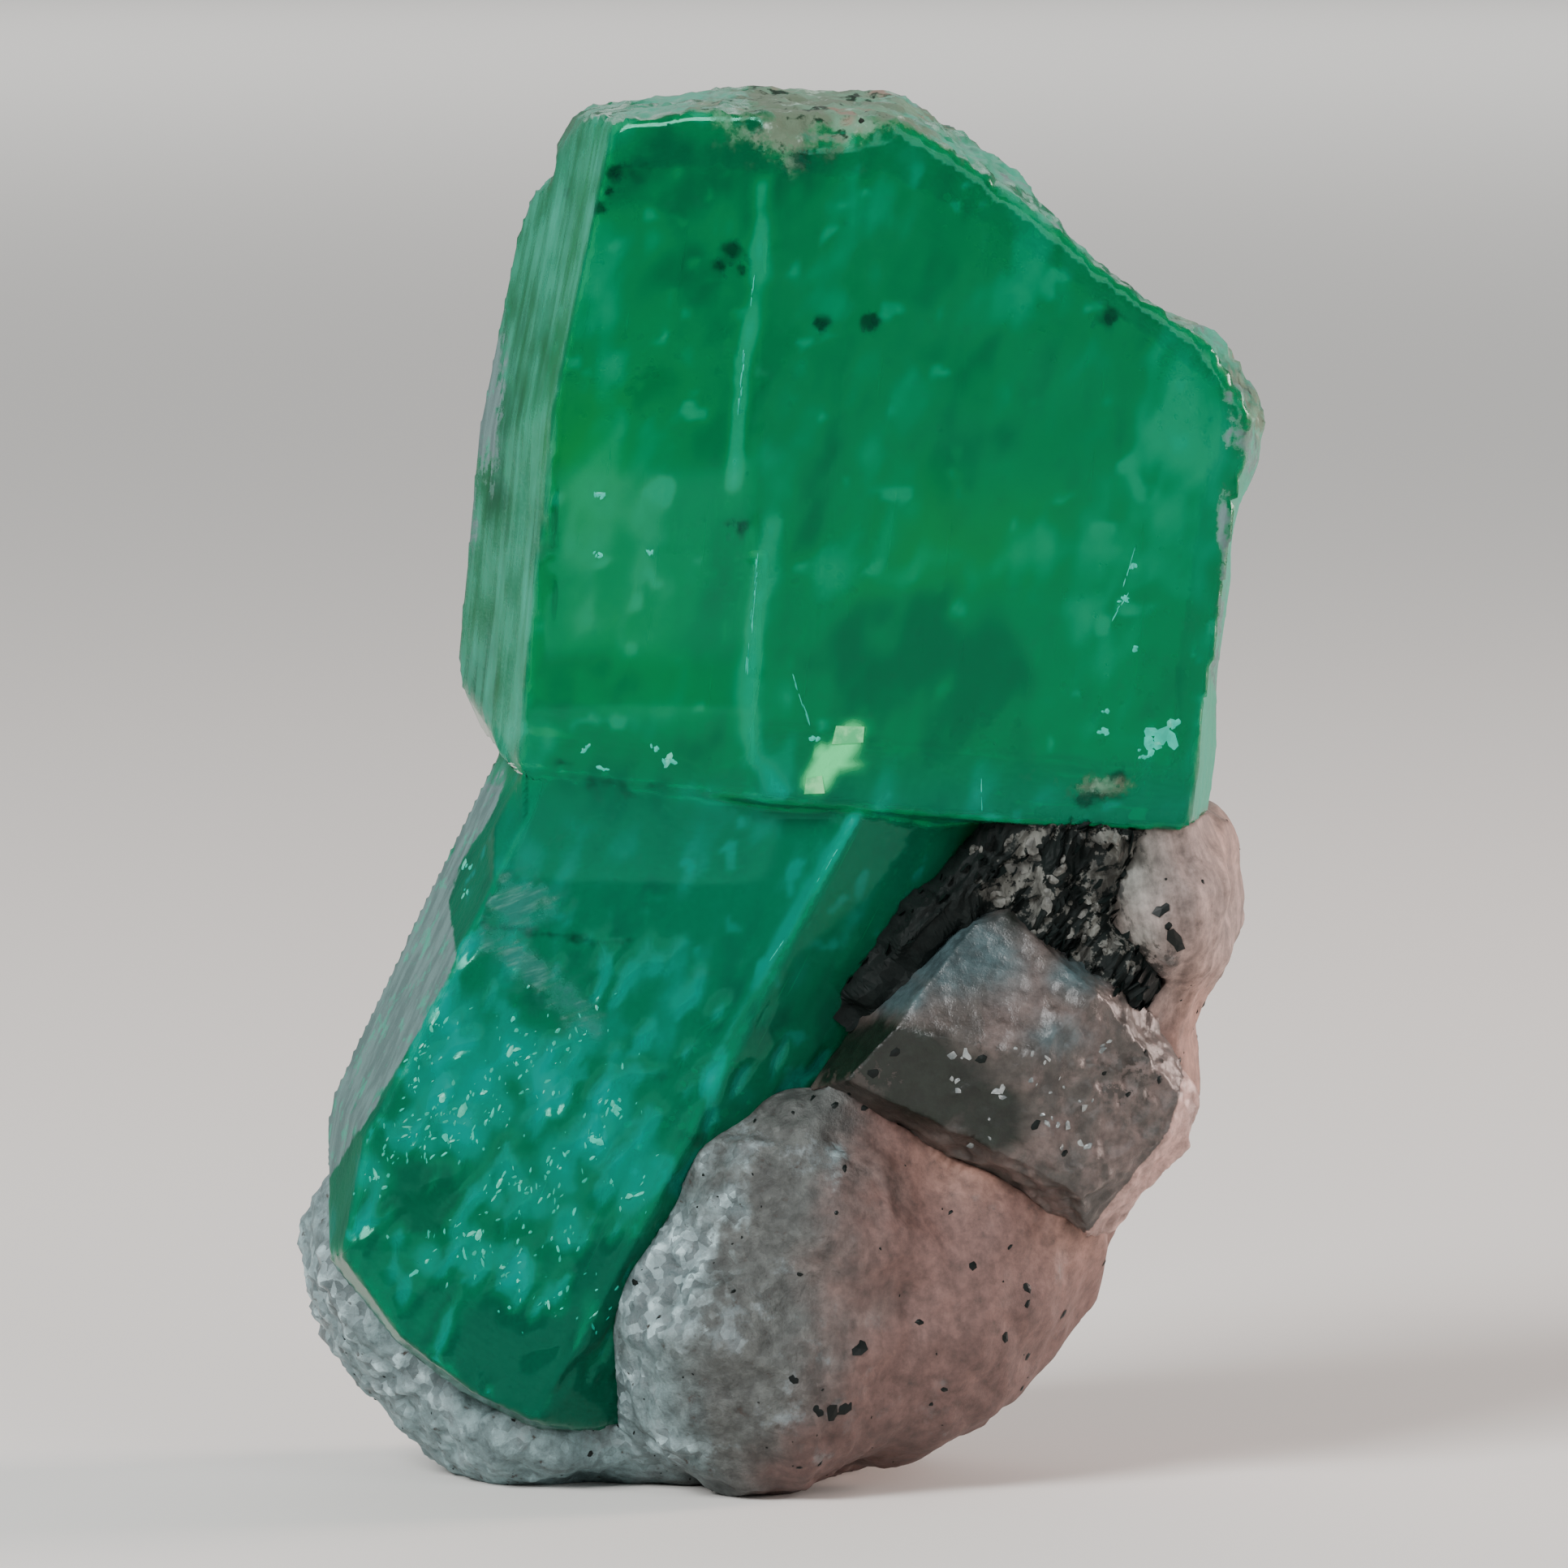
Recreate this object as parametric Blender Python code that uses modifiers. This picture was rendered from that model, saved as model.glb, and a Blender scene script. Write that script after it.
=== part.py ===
"""An emerald in matrix: two intergrown emerald prisms, a grey quartz crystal and a seam
of black mica, all held in a rounded lump of feldspar that is cut flat underneath.

+Z is up, the show side of the specimen faces -Y, and the origin is the middle of the
flat cut that it stands on. Lengths in the constants are millimetres.
"""

from math import cos, radians, sin

import bmesh
import bpy
from mathutils import Matrix, Vector, noise

# ---------------------------------------------------------------- driving dimensions
# The specimen is 40 mm high, 27.5 mm wide and 19 mm deep.
MM = 0.001
GAP = 0.30          # clearance between neighbouring solids
BLOCK = 120.0       # side of the rough block that each crystal is cleaved from
IN_FRONT = -20.0    # a depth that is clear in front of the whole specimen

# A crystal face is (start, end, depth, lean). Start and end are (x, z) points of the
# face's trace as the show side is looked at, going clockwise round the crystal. Depth
# is the y of that trace. Lean is the angle from edge-on towards the viewer: 0 is a side
# face, 90 looks straight at -Y, and a negative lean turns away to the back. A second
# lean makes two faces that meet in a ridge along the trace.

# Upper prism, whose long axis leans 7 degrees to the right
UPPER_LEDGE_Z = 26.9    # growth ledge across the front-left prism face
UPPER_LEDGE_STEP = 0.25
UPPER_FRONT_LEFT = ((-7.2, 22.3), (-5.7, 35.4), -7.0, 75)
UPPER_FACES = [
    ((-9.45, 23.0), (-8.8, 30.0), -1.2, 21, -34),    # pale left side face
    ((-8.8, 30.0), (-7.55, 36.3), -1.2, 20, -34),
    ((-7.7, 36.3), (-5.9, 39.4), -2.0, 8, -20),      # top left corner
    ((-5.9, 39.3), (-1.4, 39.9), -1.0, 4, -24),      # top break
    ((-1.4, 39.9), (3.3, 39.7), -1.0, 5, -20),
    ((3.3, 39.7), (5.4, 38.4), -1.4, 6, -22),        # slanting break
    ((5.4, 38.4), (12.4, 32.85), -2.2, 7, -18),
    ((12.4, 32.85), (13.7, 30.75), -3.0, 12, -14),   # knob at the right
    ((13.7, 30.8), (13.7, 29.9), -2.4, 10, -20),
    ((13.7, 30.0), (12.75, 23.5), -3.2, 16, -14),    # right side face
    ((12.75, 23.5), (12.1, 19.0), -3.6, 18, -16),
    ((12.2, 18.8), (-0.6, 19.4), -6.0, 12, -8),      # broken lower end
    ((-0.6, 19.4), (-8.4, 20.7), -5.5, 10, -10),
    ((-8.2, 20.4), (-9.5, 23.2), -1.6, 8, -20),
    ((-0.8, 35.0), (-1.0, 21.0), -8.45, 77),         # broad front prism face
    ((5.0, 36.0), (3.6, 20.0), 4.3, -76),            # back prism faces
    ((-4.4, 20.0), (-2.6, 36.0), 4.0, -70),
]
# Bites out of the upper prism's outline: (centre x, y, z), (radius x, y, z), turn about Y
UPPER_BITES = [
    ((10.3, 0.0, 36.05), (5.0, 16.0, 2.0), 38),
    ((-7.35, 0.0, 38.1), (0.8, 16.0, 1.2), -20),
    ((13.8, 0.0, 26.9), (0.85, 16.0, 2.3), 6),
    ((6.3, -8.0, 39.2), (2.6, 2.2, 1.5), 36),
    ((1.4, -9.4, 39.4), (2.6, 2.0, 1.6), 4),
]

# Lower prism, whose long axis leans 26 degrees to the right
LOWER_FACES = [
    ((-13.75, 7.2), (-13.0, 11.0), -1.4, 14, -40),   # pale left side face
    ((-13.0, 11.0), (-10.35, 16.6), -1.4, 15, -40),
    ((-10.35, 16.6), (-8.3, 20.7), -1.4, 17, -40),
    ((-12.9, 7.9), (-7.6, 19.9), -6.3, 83),          # broad front prism face
    ((2.1, 18.8), (-2.0, 11.3), -7.15, 52),          # narrow right prism face
    ((6.9, 19.0), (-0.5, 5.5), -3.6, 14, -30),       # right side, in the matrix
    ((-2.5, 1.6), (-7.3, 1.85), -5.8, 14, -24),      # rounded lower end
    ((-7.3, 1.9), (-9.5, 3.0), -5.8, 16, -24),
    ((-9.4, 2.95), (-12.0, 5.05), -5.6, 18, -26),
    ((-12.0, 5.05), (-13.65, 7.5), -4.6, 18, -30),
    ((-8.5, 22.6), (6.5, 21.4), -4.0, 0),            # upper end, inside the upper prism
    ((-9.0, 8.0), (-4.0, 18.0), 3.6, -80),           # back prism face
]
LOWER_BITES = [((-11.2, -5.0, 16.0), (1.35, 3.4, 1.7), 24)]     # pinch in the pale face

# Grey quartz crystal, sunk in the right of the matrix
QUARTZ_FACES = [
    ((0.5, 11.5), (2.5, 14.1), -5.6, 20, -14),
    ((2.5, 14.1), (5.1, 16.5), -5.6, 20, -14),
    ((5.1, 16.5), (6.3, 16.75), -5.8, 20, -14),
    ((6.3, 16.75), (10.3, 13.9), -5.8, 18, -16),
    ((10.3, 13.9), (11.7, 11.3), -5.0, 24, -20),
    ((11.7, 11.3), (11.4, 9.8), -4.8, 26, -22),
    ((11.4, 9.9), (9.0, 7.25), -4.9, 30, -24),
    ((9.0, 7.25), (5.4, 9.0), -5.6, 30, -20),
    ((5.4, 9.0), (0.5, 11.6), -6.2, 34, -16),
    ((3.1, 13.6), (6.6, 13.3), -7.9, 64),            # blue-grey upper facet
    ((9.0, 9.0), (2.8, 12.0), -7.6, 76),             # broad lower facet
    ((9.6, 15.0), (9.2, 8.0), -6.9, 64),             # right facet
    ((4.0, 12.0), (4.0, 16.0), -1.0, -88),
]

# Mica seam: outline on the show side, and the depths it lies between
MICA_OUTLINE = [
    (1.3, 13.6), (3.3, 16.1), (6.2, 19.3), (9.9, 19.2), (9.1, 17.6), (8.9, 16.2),
    (10.4, 14.5), (9.8, 13.6), (6.4, 15.4), (4.6, 14.6), (2.2, 12.6),
]
MICA_FRONT = -6.1
MICA_BACK = -2.4
# Leaves that part from the seam as ledges: (x, y, z) of the middle, and turn about Y
MICA_LEAF_SIZE = (0.6, 0.9, 1.7)
MICA_LEAF_PLACES = [
    ((2.6, -5.7, 14.6), 42), ((3.8, -5.9, 16.2), 40), ((5.2, -5.8, 17.3), 44),
    ((6.8, -5.7, 18.6), 80), ((8.6, -5.9, 18.7), 94), ((7.7, -5.8, 16.0), 128),
    ((9.2, -5.7, 14.9), 124), ((7.6, -5.8, 17.4), 10),
]

# Feldspar matrix as overlapping rounded lumps: (centre x, y, z), (radius x, y, z)
BODY_LUMPS = [
    ((0.4, 1.2, 11.5), (10.3, 8.2, 10.5)),       # main body
    ((9.5, -0.6, 16.6), (3.75, 5.2, 3.9)),       # right shoulder
    ((8.2, -0.1, 11.7), (3.6, 5.9, 4.2)),        # right flank
    ((-9.2, -0.3, 6.2), (4.7, 6.0, 5.0)),        # foot at the left
    ((-6.9, -0.4, 3.2), (4.5, 6.4, 4.1)),
    ((-2.7, 0.6, 3.7), (7.2, 7.4, 4.8)),         # underside
    ((0.8, 0.6, 4.6), (5.0, 7.4, 4.9)),
]
FRONT_LUMPS = [
    ((10.5, -3.0, 16.7), (2.3, 3.2, 3.0)),       # shoulder beside the mica
    ((0.5, -6.1, 7.4), (3.7, 2.9, 3.7)),         # rough lump over the crystal's foot
    ((-0.8, -6.0, 4.3), (4.2, 3.5, 4.4)),
    ((3.3, -3.9, 5.2), (4.1, 3.8, 4.6)),
    ((5.5, -2.5, 7.0), (3.7, 4.1, 4.1)),         # smooth swelling at the right
]
# Front opening through which the lower prism shows, as an outline from the left top
WINDOW_OUTLINE = [
    (-16.0, 21.5), (6.8, 19.4), (3.7, 16.1), (2.2, 14.3), (0.7, 11.9), (-1.0, 10.4),
    (-2.4, 8.5), (-3.4, 6.0), (-4.4, 3.6), (-4.6, 1.9), (-7.3, 1.5), (-9.6, 2.7),
    (-12.2, 4.8), (-13.6, 7.0), (-16.0, 10.0),
]
WINDOW_BACK = -4.2      # the opening reaches back to here
VOXEL = 0.62            # cell size that the lumps are melted together at
UNEVENNESS = 0.34       # height of the matrix surface's unevenness
UNEVEN_GRAIN = 2.6      # size of its lumps
UNEVEN_FALLOFF = 0.6    # how much weaker each finer layer of it is
UNEVEN_LAYERS = 3
MATRIX_TRIANGLES = 5600

COLOURS = {
    "emerald": ((0.0, 0.19, 0.075), 0.08),
    "quartz": ((0.16, 0.16, 0.15), 0.25),
    "mica_seam": ((0.012, 0.012, 0.013), 0.45),
    "feldspar_matrix": ((0.34, 0.27, 0.25), 0.8),
}


# ---------------------------------------------------------------- scene and collections
def clear_scene():
    for thing in list(bpy.data.objects):
        bpy.data.objects.remove(thing, do_unlink=True)


def new_collection(name, hidden):
    collection = bpy.data.collections.new(name)
    collection.hide_render = hidden
    bpy.context.scene.collection.children.link(collection)
    return collection


def add_object(name, bm, collection):
    mesh = bpy.data.meshes.new(name)
    bm.to_mesh(mesh)
    bm.free()
    thing = bpy.data.objects.new(name, mesh)
    collection.objects.link(thing)
    return thing


def as_cutter(thing):
    thing.hide_render = True
    thing.display_type = "WIRE"
    return thing


def finish(thing):
    """Gives a finished piece its own material and flat facets."""
    colour, roughness = COLOURS[thing.name]
    material = bpy.data.materials.new(thing.name)
    material.use_nodes = True
    shader = material.node_tree.nodes["Principled BSDF"]
    shader.inputs["Base Color"].default_value = (*colour, 1.0)
    shader.inputs["Roughness"].default_value = roughness
    shader.inputs["Metallic"].default_value = 0.0
    thing.data.materials.clear()
    thing.data.materials.append(material)
    thing.data.shade_flat()


# ---------------------------------------------------------------- making shapes
def cleave(bm, point, normal):
    """Splits off all that lies beyond a plane and closes the cut."""
    everything = bm.verts[:] + bm.edges[:] + bm.faces[:]
    cut = bmesh.ops.bisect_plane(
        bm, geom=everything, plane_co=point, plane_no=normal, clear_outer=True, dist=1e-7
    )
    edges = [item for item in cut["geom_cut"] if isinstance(item, bmesh.types.BMEdge)]
    if edges:
        bmesh.ops.contextual_create(bm, geom=edges)


def planes_of(face, grow):
    """Points on a crystal face, or on both faces of a ridge, and their outward normals."""
    (x1, z1), (x2, z2), depth, *leans = face
    along = Vector((x2 - x1, 0.0, z2 - z1)).normalized()
    side = Vector((-along.z, 0.0, along.x))
    for lean in leans:
        tilt = radians(lean)
        normal = side * cos(tilt) + Vector((0.0, -1.0, 0.0)) * sin(tilt)
        yield Vector((x1, depth, z1)) + normal * grow, normal


def crystal(name, faces, collection, grow=0.0):
    """A block cleaved along each face of a crystal."""
    bm = bmesh.new()
    bmesh.ops.create_cube(bm, size=BLOCK * MM)
    for face in faces:
        for point, normal in planes_of(face, grow):
            cleave(bm, point * MM, normal)
    bmesh.ops.recalc_face_normals(bm, faces=bm.faces)
    return add_object(name, bm, collection)


def lump(bm, centre, radii, turn=0.0, subdivisions=3):
    """Adds one rounded lump to a mesh."""
    placed = Matrix.Translation(Vector(centre) * MM)
    turned = Matrix.Rotation(radians(turn), 4, "Y")
    sized = Matrix.Diagonal((*(Vector(radii) * MM), 1.0))
    bmesh.ops.create_icosphere(
        bm, subdivisions=subdivisions, radius=1.0, matrix=placed @ turned @ sized
    )


def widened(outline, distance):
    """A clockwise outline moved out by a distance, with mitred corners."""
    corners = [Vector(corner) for corner in outline]
    moved = []
    for index, corner in enumerate(corners):
        into = (corner - corners[index - 1]).normalized()
        out = (corners[(index + 1) % len(corners)] - corner).normalized()
        middle = (into + out).normalized()
        normal = Vector((-middle.y, middle.x))
        moved.append(corner + normal * distance / max(middle.dot(into), 0.5))
    return moved


def plate(name, outline, front, back, collection):
    """An outline of the show side, filled and given depth."""
    bm = bmesh.new()
    rim = [bm.verts.new(Vector((x, front, z)) * MM) for x, z in outline]
    face = bm.faces.new(rim)
    grown = bmesh.ops.extrude_face_region(bm, geom=[face])
    moved = [item for item in grown["geom"] if isinstance(item, bmesh.types.BMVert)]
    bmesh.ops.translate(bm, verts=moved, vec=Vector((0.0, back - front, 0.0)) * MM)
    bmesh.ops.triangulate(bm, faces=[f for f in bm.faces if len(f.verts) > 4])
    bmesh.ops.recalc_face_normals(bm, faces=bm.faces)
    return add_object(name, bm, collection)


def boolean(thing, other, operation):
    """Joins, cuts or intersects with another object and keeps the result as plain mesh."""
    modifier = thing.modifiers.new(operation.title(), "BOOLEAN")
    modifier.operation = operation
    modifier.solver = "EXACT"
    modifier.object = other
    bake(thing)


def bake(thing):
    """Turns an object's modifiers into its mesh."""
    bpy.context.view_layer.update()
    evaluated = thing.evaluated_get(bpy.context.evaluated_depsgraph_get())
    mesh = bpy.data.meshes.new_from_object(evaluated)
    thing.modifiers.clear()
    thing.data = mesh


def triangle_count(thing):
    return sum(len(polygon.vertices) - 2 for polygon in thing.data.polygons)


def remesh(thing, voxel):
    modifier = thing.modifiers.new("Remesh", "REMESH")
    modifier.mode = "VOXEL"
    modifier.voxel_size = voxel * MM
    bake(thing)


# ---------------------------------------------------------------- the pieces
def upper_prism(name, collection, grow=0.0):
    """The upper prism, whose front-left face steps in below a growth ledge."""
    (start, end, depth, lean) = UPPER_FRONT_LEFT
    below = (start, end, depth + UPPER_LEDGE_STEP, lean)
    ledge = ((12.0, UPPER_LEDGE_Z), (-12.0, UPPER_LEDGE_Z), 0.0, 0)
    prism = crystal(name, UPPER_FACES + [below], collection, grow)
    head = crystal(name + "_head", UPPER_FACES + [UPPER_FRONT_LEFT, ledge], collection, grow)
    boolean(prism, head, "UNION")
    bpy.data.objects.remove(head)
    return prism


def bite_off(thing, bites, helpers):
    """Takes rounded conchoidal bites out of a crystal."""
    for centre, radii, turn in bites:
        bm = bmesh.new()
        lump(bm, centre, radii, turn, subdivisions=2)
        bite = as_cutter(add_object("bite", bm, helpers))
        boolean(thing, bite, "DIFFERENCE")


def emerald(collection, helpers):
    """Both prisms, joined where they grew into each other."""
    prism = upper_prism("emerald", collection)
    bite_off(prism, UPPER_BITES, helpers)
    lower = as_cutter(crystal("emerald_lower", LOWER_FACES, helpers))
    bite_off(lower, LOWER_BITES, helpers)
    boolean(prism, lower, "UNION")
    return prism


def emerald_socket(helpers):
    """The room that the emerald takes up in its neighbours, clearance included."""
    socket = as_cutter(upper_prism("emerald_socket", helpers, GAP))
    lower = crystal("emerald_socket_lower", LOWER_FACES, helpers, GAP)
    boolean(socket, as_cutter(lower), "UNION")
    return socket


def mica(collection, helpers, sockets):
    """A seam of mica leaves squeezed between the emerald, the quartz and the feldspar."""
    seam = plate("mica_seam", MICA_OUTLINE, MICA_FRONT, MICA_BACK, collection)
    for place, turn in MICA_LEAF_PLACES:
        bm = bmesh.new()
        lump(bm, place, MICA_LEAF_SIZE, turn, subdivisions=1)
        leaf = as_cutter(add_object("mica_leaf", bm, helpers))
        boolean(seam, leaf, "UNION")
    for socket in sockets:
        boolean(seam, socket, "DIFFERENCE")
    keep_largest(seam)
    return seam


def roughen(thing):
    """Moves each point of a surface along its normal by seeded noise."""
    for vertex in thing.data.vertices:
        place = vertex.co / (UNEVEN_GRAIN * MM)
        height = noise.fractal(place, UNEVEN_FALLOFF, 2.0, UNEVEN_LAYERS)
        vertex.co += vertex.normal * (height * UNEVENNESS * MM)


def matrix(collection, helpers, sockets):
    """The feldspar: rounded lumps grown together, opened in front of the lower prism."""
    bm = bmesh.new()
    for centre, radii in BODY_LUMPS:
        lump(bm, centre, radii)
    body = add_object("feldspar_matrix", bm, collection)
    remesh(body, VOXEL)
    window = plate("matrix_window", WINDOW_OUTLINE, IN_FRONT, WINDOW_BACK, helpers)
    boolean(body, as_cutter(window), "DIFFERENCE")
    bm = bmesh.new()
    for centre, radii in FRONT_LUMPS:
        lump(bm, centre, radii)
    lumps = as_cutter(add_object("matrix_front", bm, helpers))
    remesh(lumps, VOXEL)
    boolean(body, lumps, "UNION")
    remesh(body, VOXEL)
    smooth = body.modifiers.new("Smooth", "SMOOTH")
    smooth.iterations = 2
    smooth.factor = 0.5
    bake(body)
    roughen(body)
    fewer = body.modifiers.new("Decimate", "DECIMATE")
    fewer.ratio = MATRIX_TRIANGLES / triangle_count(body)
    bake(body)
    for socket in sockets:
        boolean(body, socket, "DIFFERENCE")
    keep_largest(body)
    cut_flat(body)
    return body


def keep_largest(thing):
    """Drops the crumbs that the cuts leave beside the main piece."""
    bm = bmesh.new()
    bm.from_mesh(thing.data)
    unseen = set(bm.verts)
    groups = []
    while unseen:
        group = set()
        front = [unseen.pop()]
        while front:
            vertex = front.pop()
            group.add(vertex)
            near = {edge.other_vert(vertex) for edge in vertex.link_edges} & unseen
            unseen -= near
            front.extend(near)
        groups.append(group)
    groups.sort(key=len)
    crumbs = [vertex for group in groups[:-1] for vertex in group]
    bmesh.ops.delete(bm, geom=crumbs, context="VERTS")
    bm.to_mesh(thing.data)
    bm.free()


def cut_flat(thing):
    """Cuts off what lies below the resting plane."""
    bm = bmesh.new()
    bm.from_mesh(thing.data)
    cleave(bm, Vector((0.0, 0.0, 0.0)), Vector((0.0, 0.0, -1.0)))
    bm.to_mesh(thing.data)
    bm.free()


def stand_on_origin(pieces):
    """Moves the pieces together so that the middle of their footprint is the origin."""
    corners = [vertex.co for piece in pieces for vertex in piece.data.vertices]
    middle_x = (min(c.x for c in corners) + max(c.x for c in corners)) / 2
    middle_y = (min(c.y for c in corners) + max(c.y for c in corners)) / 2
    for piece in pieces:
        piece.data.transform(Matrix.Translation((-middle_x, -middle_y, 0.0)))


def main():
    clear_scene()
    parts = new_collection("emerald_in_matrix", False)
    helpers = new_collection("cutters", True)
    emerald_room = emerald_socket(helpers)
    quartz = crystal("quartz", QUARTZ_FACES, parts)
    boolean(quartz, emerald_room, "DIFFERENCE")
    quartz_room = as_cutter(crystal("quartz_socket", QUARTZ_FACES, helpers, GAP))
    seam = mica(parts, helpers, [emerald_room, quartz_room])
    room = widened(MICA_OUTLINE, GAP)
    mica_room = as_cutter(plate("mica_socket", room, IN_FRONT, MICA_BACK + GAP, helpers))
    feldspar = matrix(parts, helpers, [emerald_room, quartz_room, mica_room])
    pieces = [emerald(parts, helpers), quartz, seam, feldspar]
    stand_on_origin(pieces)
    for piece in pieces:
        finish(piece)


main()
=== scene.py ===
"""Looks of an emerald in matrix: two intergrown emerald prisms, a grey quartz crystal and a
seam of black mica in a lump of feldspar.

Lengths are millimetres unless a name says otherwise, and MM turns them into metres. +Z is
up and the show side faces -Y. A place given as (across, height) is where the viewer in front
of the show side sees it.
"""

import math
import random

import bmesh
import bpy
import numpy as np
from bpy.props import FloatProperty, FloatVectorProperty, IntProperty, PointerProperty
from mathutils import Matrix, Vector, noise
from mathutils.bvhtree import BVHTree


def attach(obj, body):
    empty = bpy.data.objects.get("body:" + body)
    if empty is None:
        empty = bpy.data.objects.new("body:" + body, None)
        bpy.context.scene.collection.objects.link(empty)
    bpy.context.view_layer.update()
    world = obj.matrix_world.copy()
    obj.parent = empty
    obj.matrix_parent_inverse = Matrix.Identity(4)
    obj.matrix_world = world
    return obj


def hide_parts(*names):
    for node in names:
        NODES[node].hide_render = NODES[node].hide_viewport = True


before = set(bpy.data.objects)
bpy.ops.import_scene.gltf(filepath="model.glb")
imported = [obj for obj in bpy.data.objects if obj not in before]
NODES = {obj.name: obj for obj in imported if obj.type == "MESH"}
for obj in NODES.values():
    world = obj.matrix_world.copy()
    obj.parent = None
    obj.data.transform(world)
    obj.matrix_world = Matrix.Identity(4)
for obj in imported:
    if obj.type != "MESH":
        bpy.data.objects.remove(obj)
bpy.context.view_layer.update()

bl_info = {
    "name": "Emerald in matrix",
    "version": (1, 0, 0),
    "blender": (4, 5, 0),
    "location": "3D View > Sidebar > Emerald",
    "description": "Builds the looks of an emerald in matrix around its packed solids",
    "category": "Object",
}

MM = 0.001
BODY = "root"
BUILT = {}                  # finished meshes that later pieces are laid on, by piece name
SEEDS = {"veils": 11, "inclusions": 23, "glints": 37, "mica": 43, "specks": 59}

VIEW_HEIGHT = math.radians(4.0)     # how far above level the show side is looked at


def leaning(degrees):
    """The direction of an axis in the front view that leans right by an angle."""
    return math.sin(math.radians(degrees)), 0.0, math.cos(math.radians(degrees))


# Lean of the prisms and of the streaks in the rock, in degrees to the right
UPPER_LEAN = 7
LOWER_LEAN = 26
ROCK_LEAN = -12
UPPER_AXIS = Vector(leaning(UPPER_LEAN))
LOWER_AXIS = Vector(leaning(LOWER_LEAN))
LOWER_TOP = 20.4            # height below which the lower prism shows


# ------------------------------------------------------------------ colours and numbers
def linear(colour):
    """The linear RGB of an sRGB hex colour."""
    parts = [int(colour[i:i + 2], 16) / 255 for i in (1, 3, 5)]
    return tuple(p / 12.92 if p <= 0.04045 else ((p + 0.055) / 1.055) ** 2.4 for p in parts)


def per_metre(size):
    """The pattern scale that repeats once in a size given in millimetres."""
    return 1.0 / (size * MM)


def smooth(low, high, value):
    """0 at low, 1 at high, and a soft step between."""
    t = np.clip((value - low) / (high - low), 0.0, 1.0)
    return t * t * (3.0 - 2.0 * t)


# ------------------------------------------------------------------ settings
def colour_setting(name, description, colour):
    """A colour of the panel."""
    return FloatVectorProperty(
        name=name, description=description, subtype="COLOR", default=linear(colour),
        min=0, max=1)


def share_setting(name, description, value):
    """A share from 0 to 1 of the panel."""
    return FloatProperty(
        name=name, description=description, default=value, min=0, max=1, subtype="FACTOR")


def size_setting(name, description, value):
    """A length of the panel, in millimetres."""
    return FloatProperty(name=name, description=description + ", in mm", default=value, min=0)


class EmeraldLook(bpy.types.PropertyGroup):
    """Finish of the emerald crystals."""
    deep: colour_setting("Deep green", "Darkest parts of the body", "#006a42")
    body: colour_setting("Body green", "Main green of the beryl", "#00854f")
    teal: colour_setting("Light green", "Lighter, bluer parts of the body", "#00a274")
    # The brightest green paints the glow where cracks and worn edges would light the crystal from
    # inside
    cyan: colour_setting("Brightest green", "Parts lit from inside by cracks", "#04b48c")
    warm: colour_setting("Warm zone", "Yellower growth zones", "#0a9432")
    frosted: colour_setting("Etched face", "Etched side faces", "#36987f")
    # The chalky rims, paler along the silhouettes as painted sheen
    whitened: colour_setting("Etched edge", "Chalky rims of the etched faces", "#5c7372")
    crusted: colour_setting("Crust", "Weathered broken ends", "#5a6a58")
    filmed: colour_setting("Film", "Silvery film on the lower prism", "#205b53")
    # Painted reflection in the chipped corner
    painted_chip_reflection: colour_setting("Chip", "Yellow-green reflection in a chipped corner", "#4ad886")
    absorption: colour_setting("Absorption colour", "What thick crystal lets through", "#00dcb8")
    density: FloatProperty(
        name="Absorption density", description="Per metre of crystal", default=230.0, min=0)
    transmission: share_setting("Clarity", "Share of light that passes inside", 0.62)
    roughness: share_setting("Roughness", "Of a natural prism face", 0.11)
    wave: size_setting("Waviness", "Height of the slow waves on a prism face", 0.014)
    flakes: IntProperty(
        name="Veil flakes", description="Number of flakes in the healed fractures",
        default=1100, min=0, max=4000)


class RockLook(bpy.types.PropertyGroup):
    """Finish of the feldspar matrix, the quartz and the mica."""
    pale: colour_setting("Pale feldspar", "Bluish white feldspar at the left", "#6f8587")
    grey: colour_setting("Grey feldspar", "Weathered middle of the rock", "#474a48")
    pink: colour_setting("Pink feldspar", "Pinkish tan feldspar at the right", "#614944")
    tan: colour_setting("Tan feldspar", "Streaked shoulder at the upper right", "#7a6a65")
    ash: colour_setting("Ashen feldspar", "Grey streaked feldspar beside the mica", "#646560")
    # Painted highlight on the top and right of the pink feldspar
    peach: colour_setting("Peach feldspar", "Freshest part of the pink feldspar", "#89675a")
    wisp: colour_setting("Wisps", "Lighter bluish wisps in the grey feldspar", "#626a6c")
    sugar: colour_setting("Sugary grains", "Bright grains of the pale feldspar", "#a9c2c6")
    stain: colour_setting("Stain", "Dirt in the pits of the rock", "#38332f")
    quartz_cold: colour_setting("Quartz, cold side", "Blue-grey facets", "#3b4d50")
    quartz_green: colour_setting("Quartz, clear side", "Dark greenish clear part", "#111a13")
    quartz_warm: colour_setting("Quartz, warm side", "Grey rough facets", "#4b4642")
    quartz_rose: colour_setting("Quartz, rosy side", "Pinkish grey cloud", "#5d504c")
    quartz_skin: colour_setting("Skin", "Feldspar that clings to the quartz", "#ab8a82")
    mica: colour_setting("Mica", "Black biotite", "#0a100f")
    grain: size_setting("Grain", "Width of a sugary grain", 0.6)


class StageLook(bpy.types.PropertyGroup):
    """Floor, lights and camera."""
    floor: colour_setting("Floor", "Colour of the plain floor", "#e6e4e0")
    elevation: FloatProperty(
        name="Camera elevation", description="Height of the camera above the horizon",
        default=VIEW_HEIGHT, subtype="ANGLE")
    lens: FloatProperty(
        name="Lens", description="Focal length in mm", default=300.0, min=10)
    frame_width: FloatProperty(
        name="Frame width", description="Width that the image covers at the object",
        default=45.13 * MM, min=0.001, subtype="DISTANCE", unit="LENGTH")
    strength: FloatProperty(
        name="Light strength", description="Scales every lamp", default=1.0, min=0)


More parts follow.
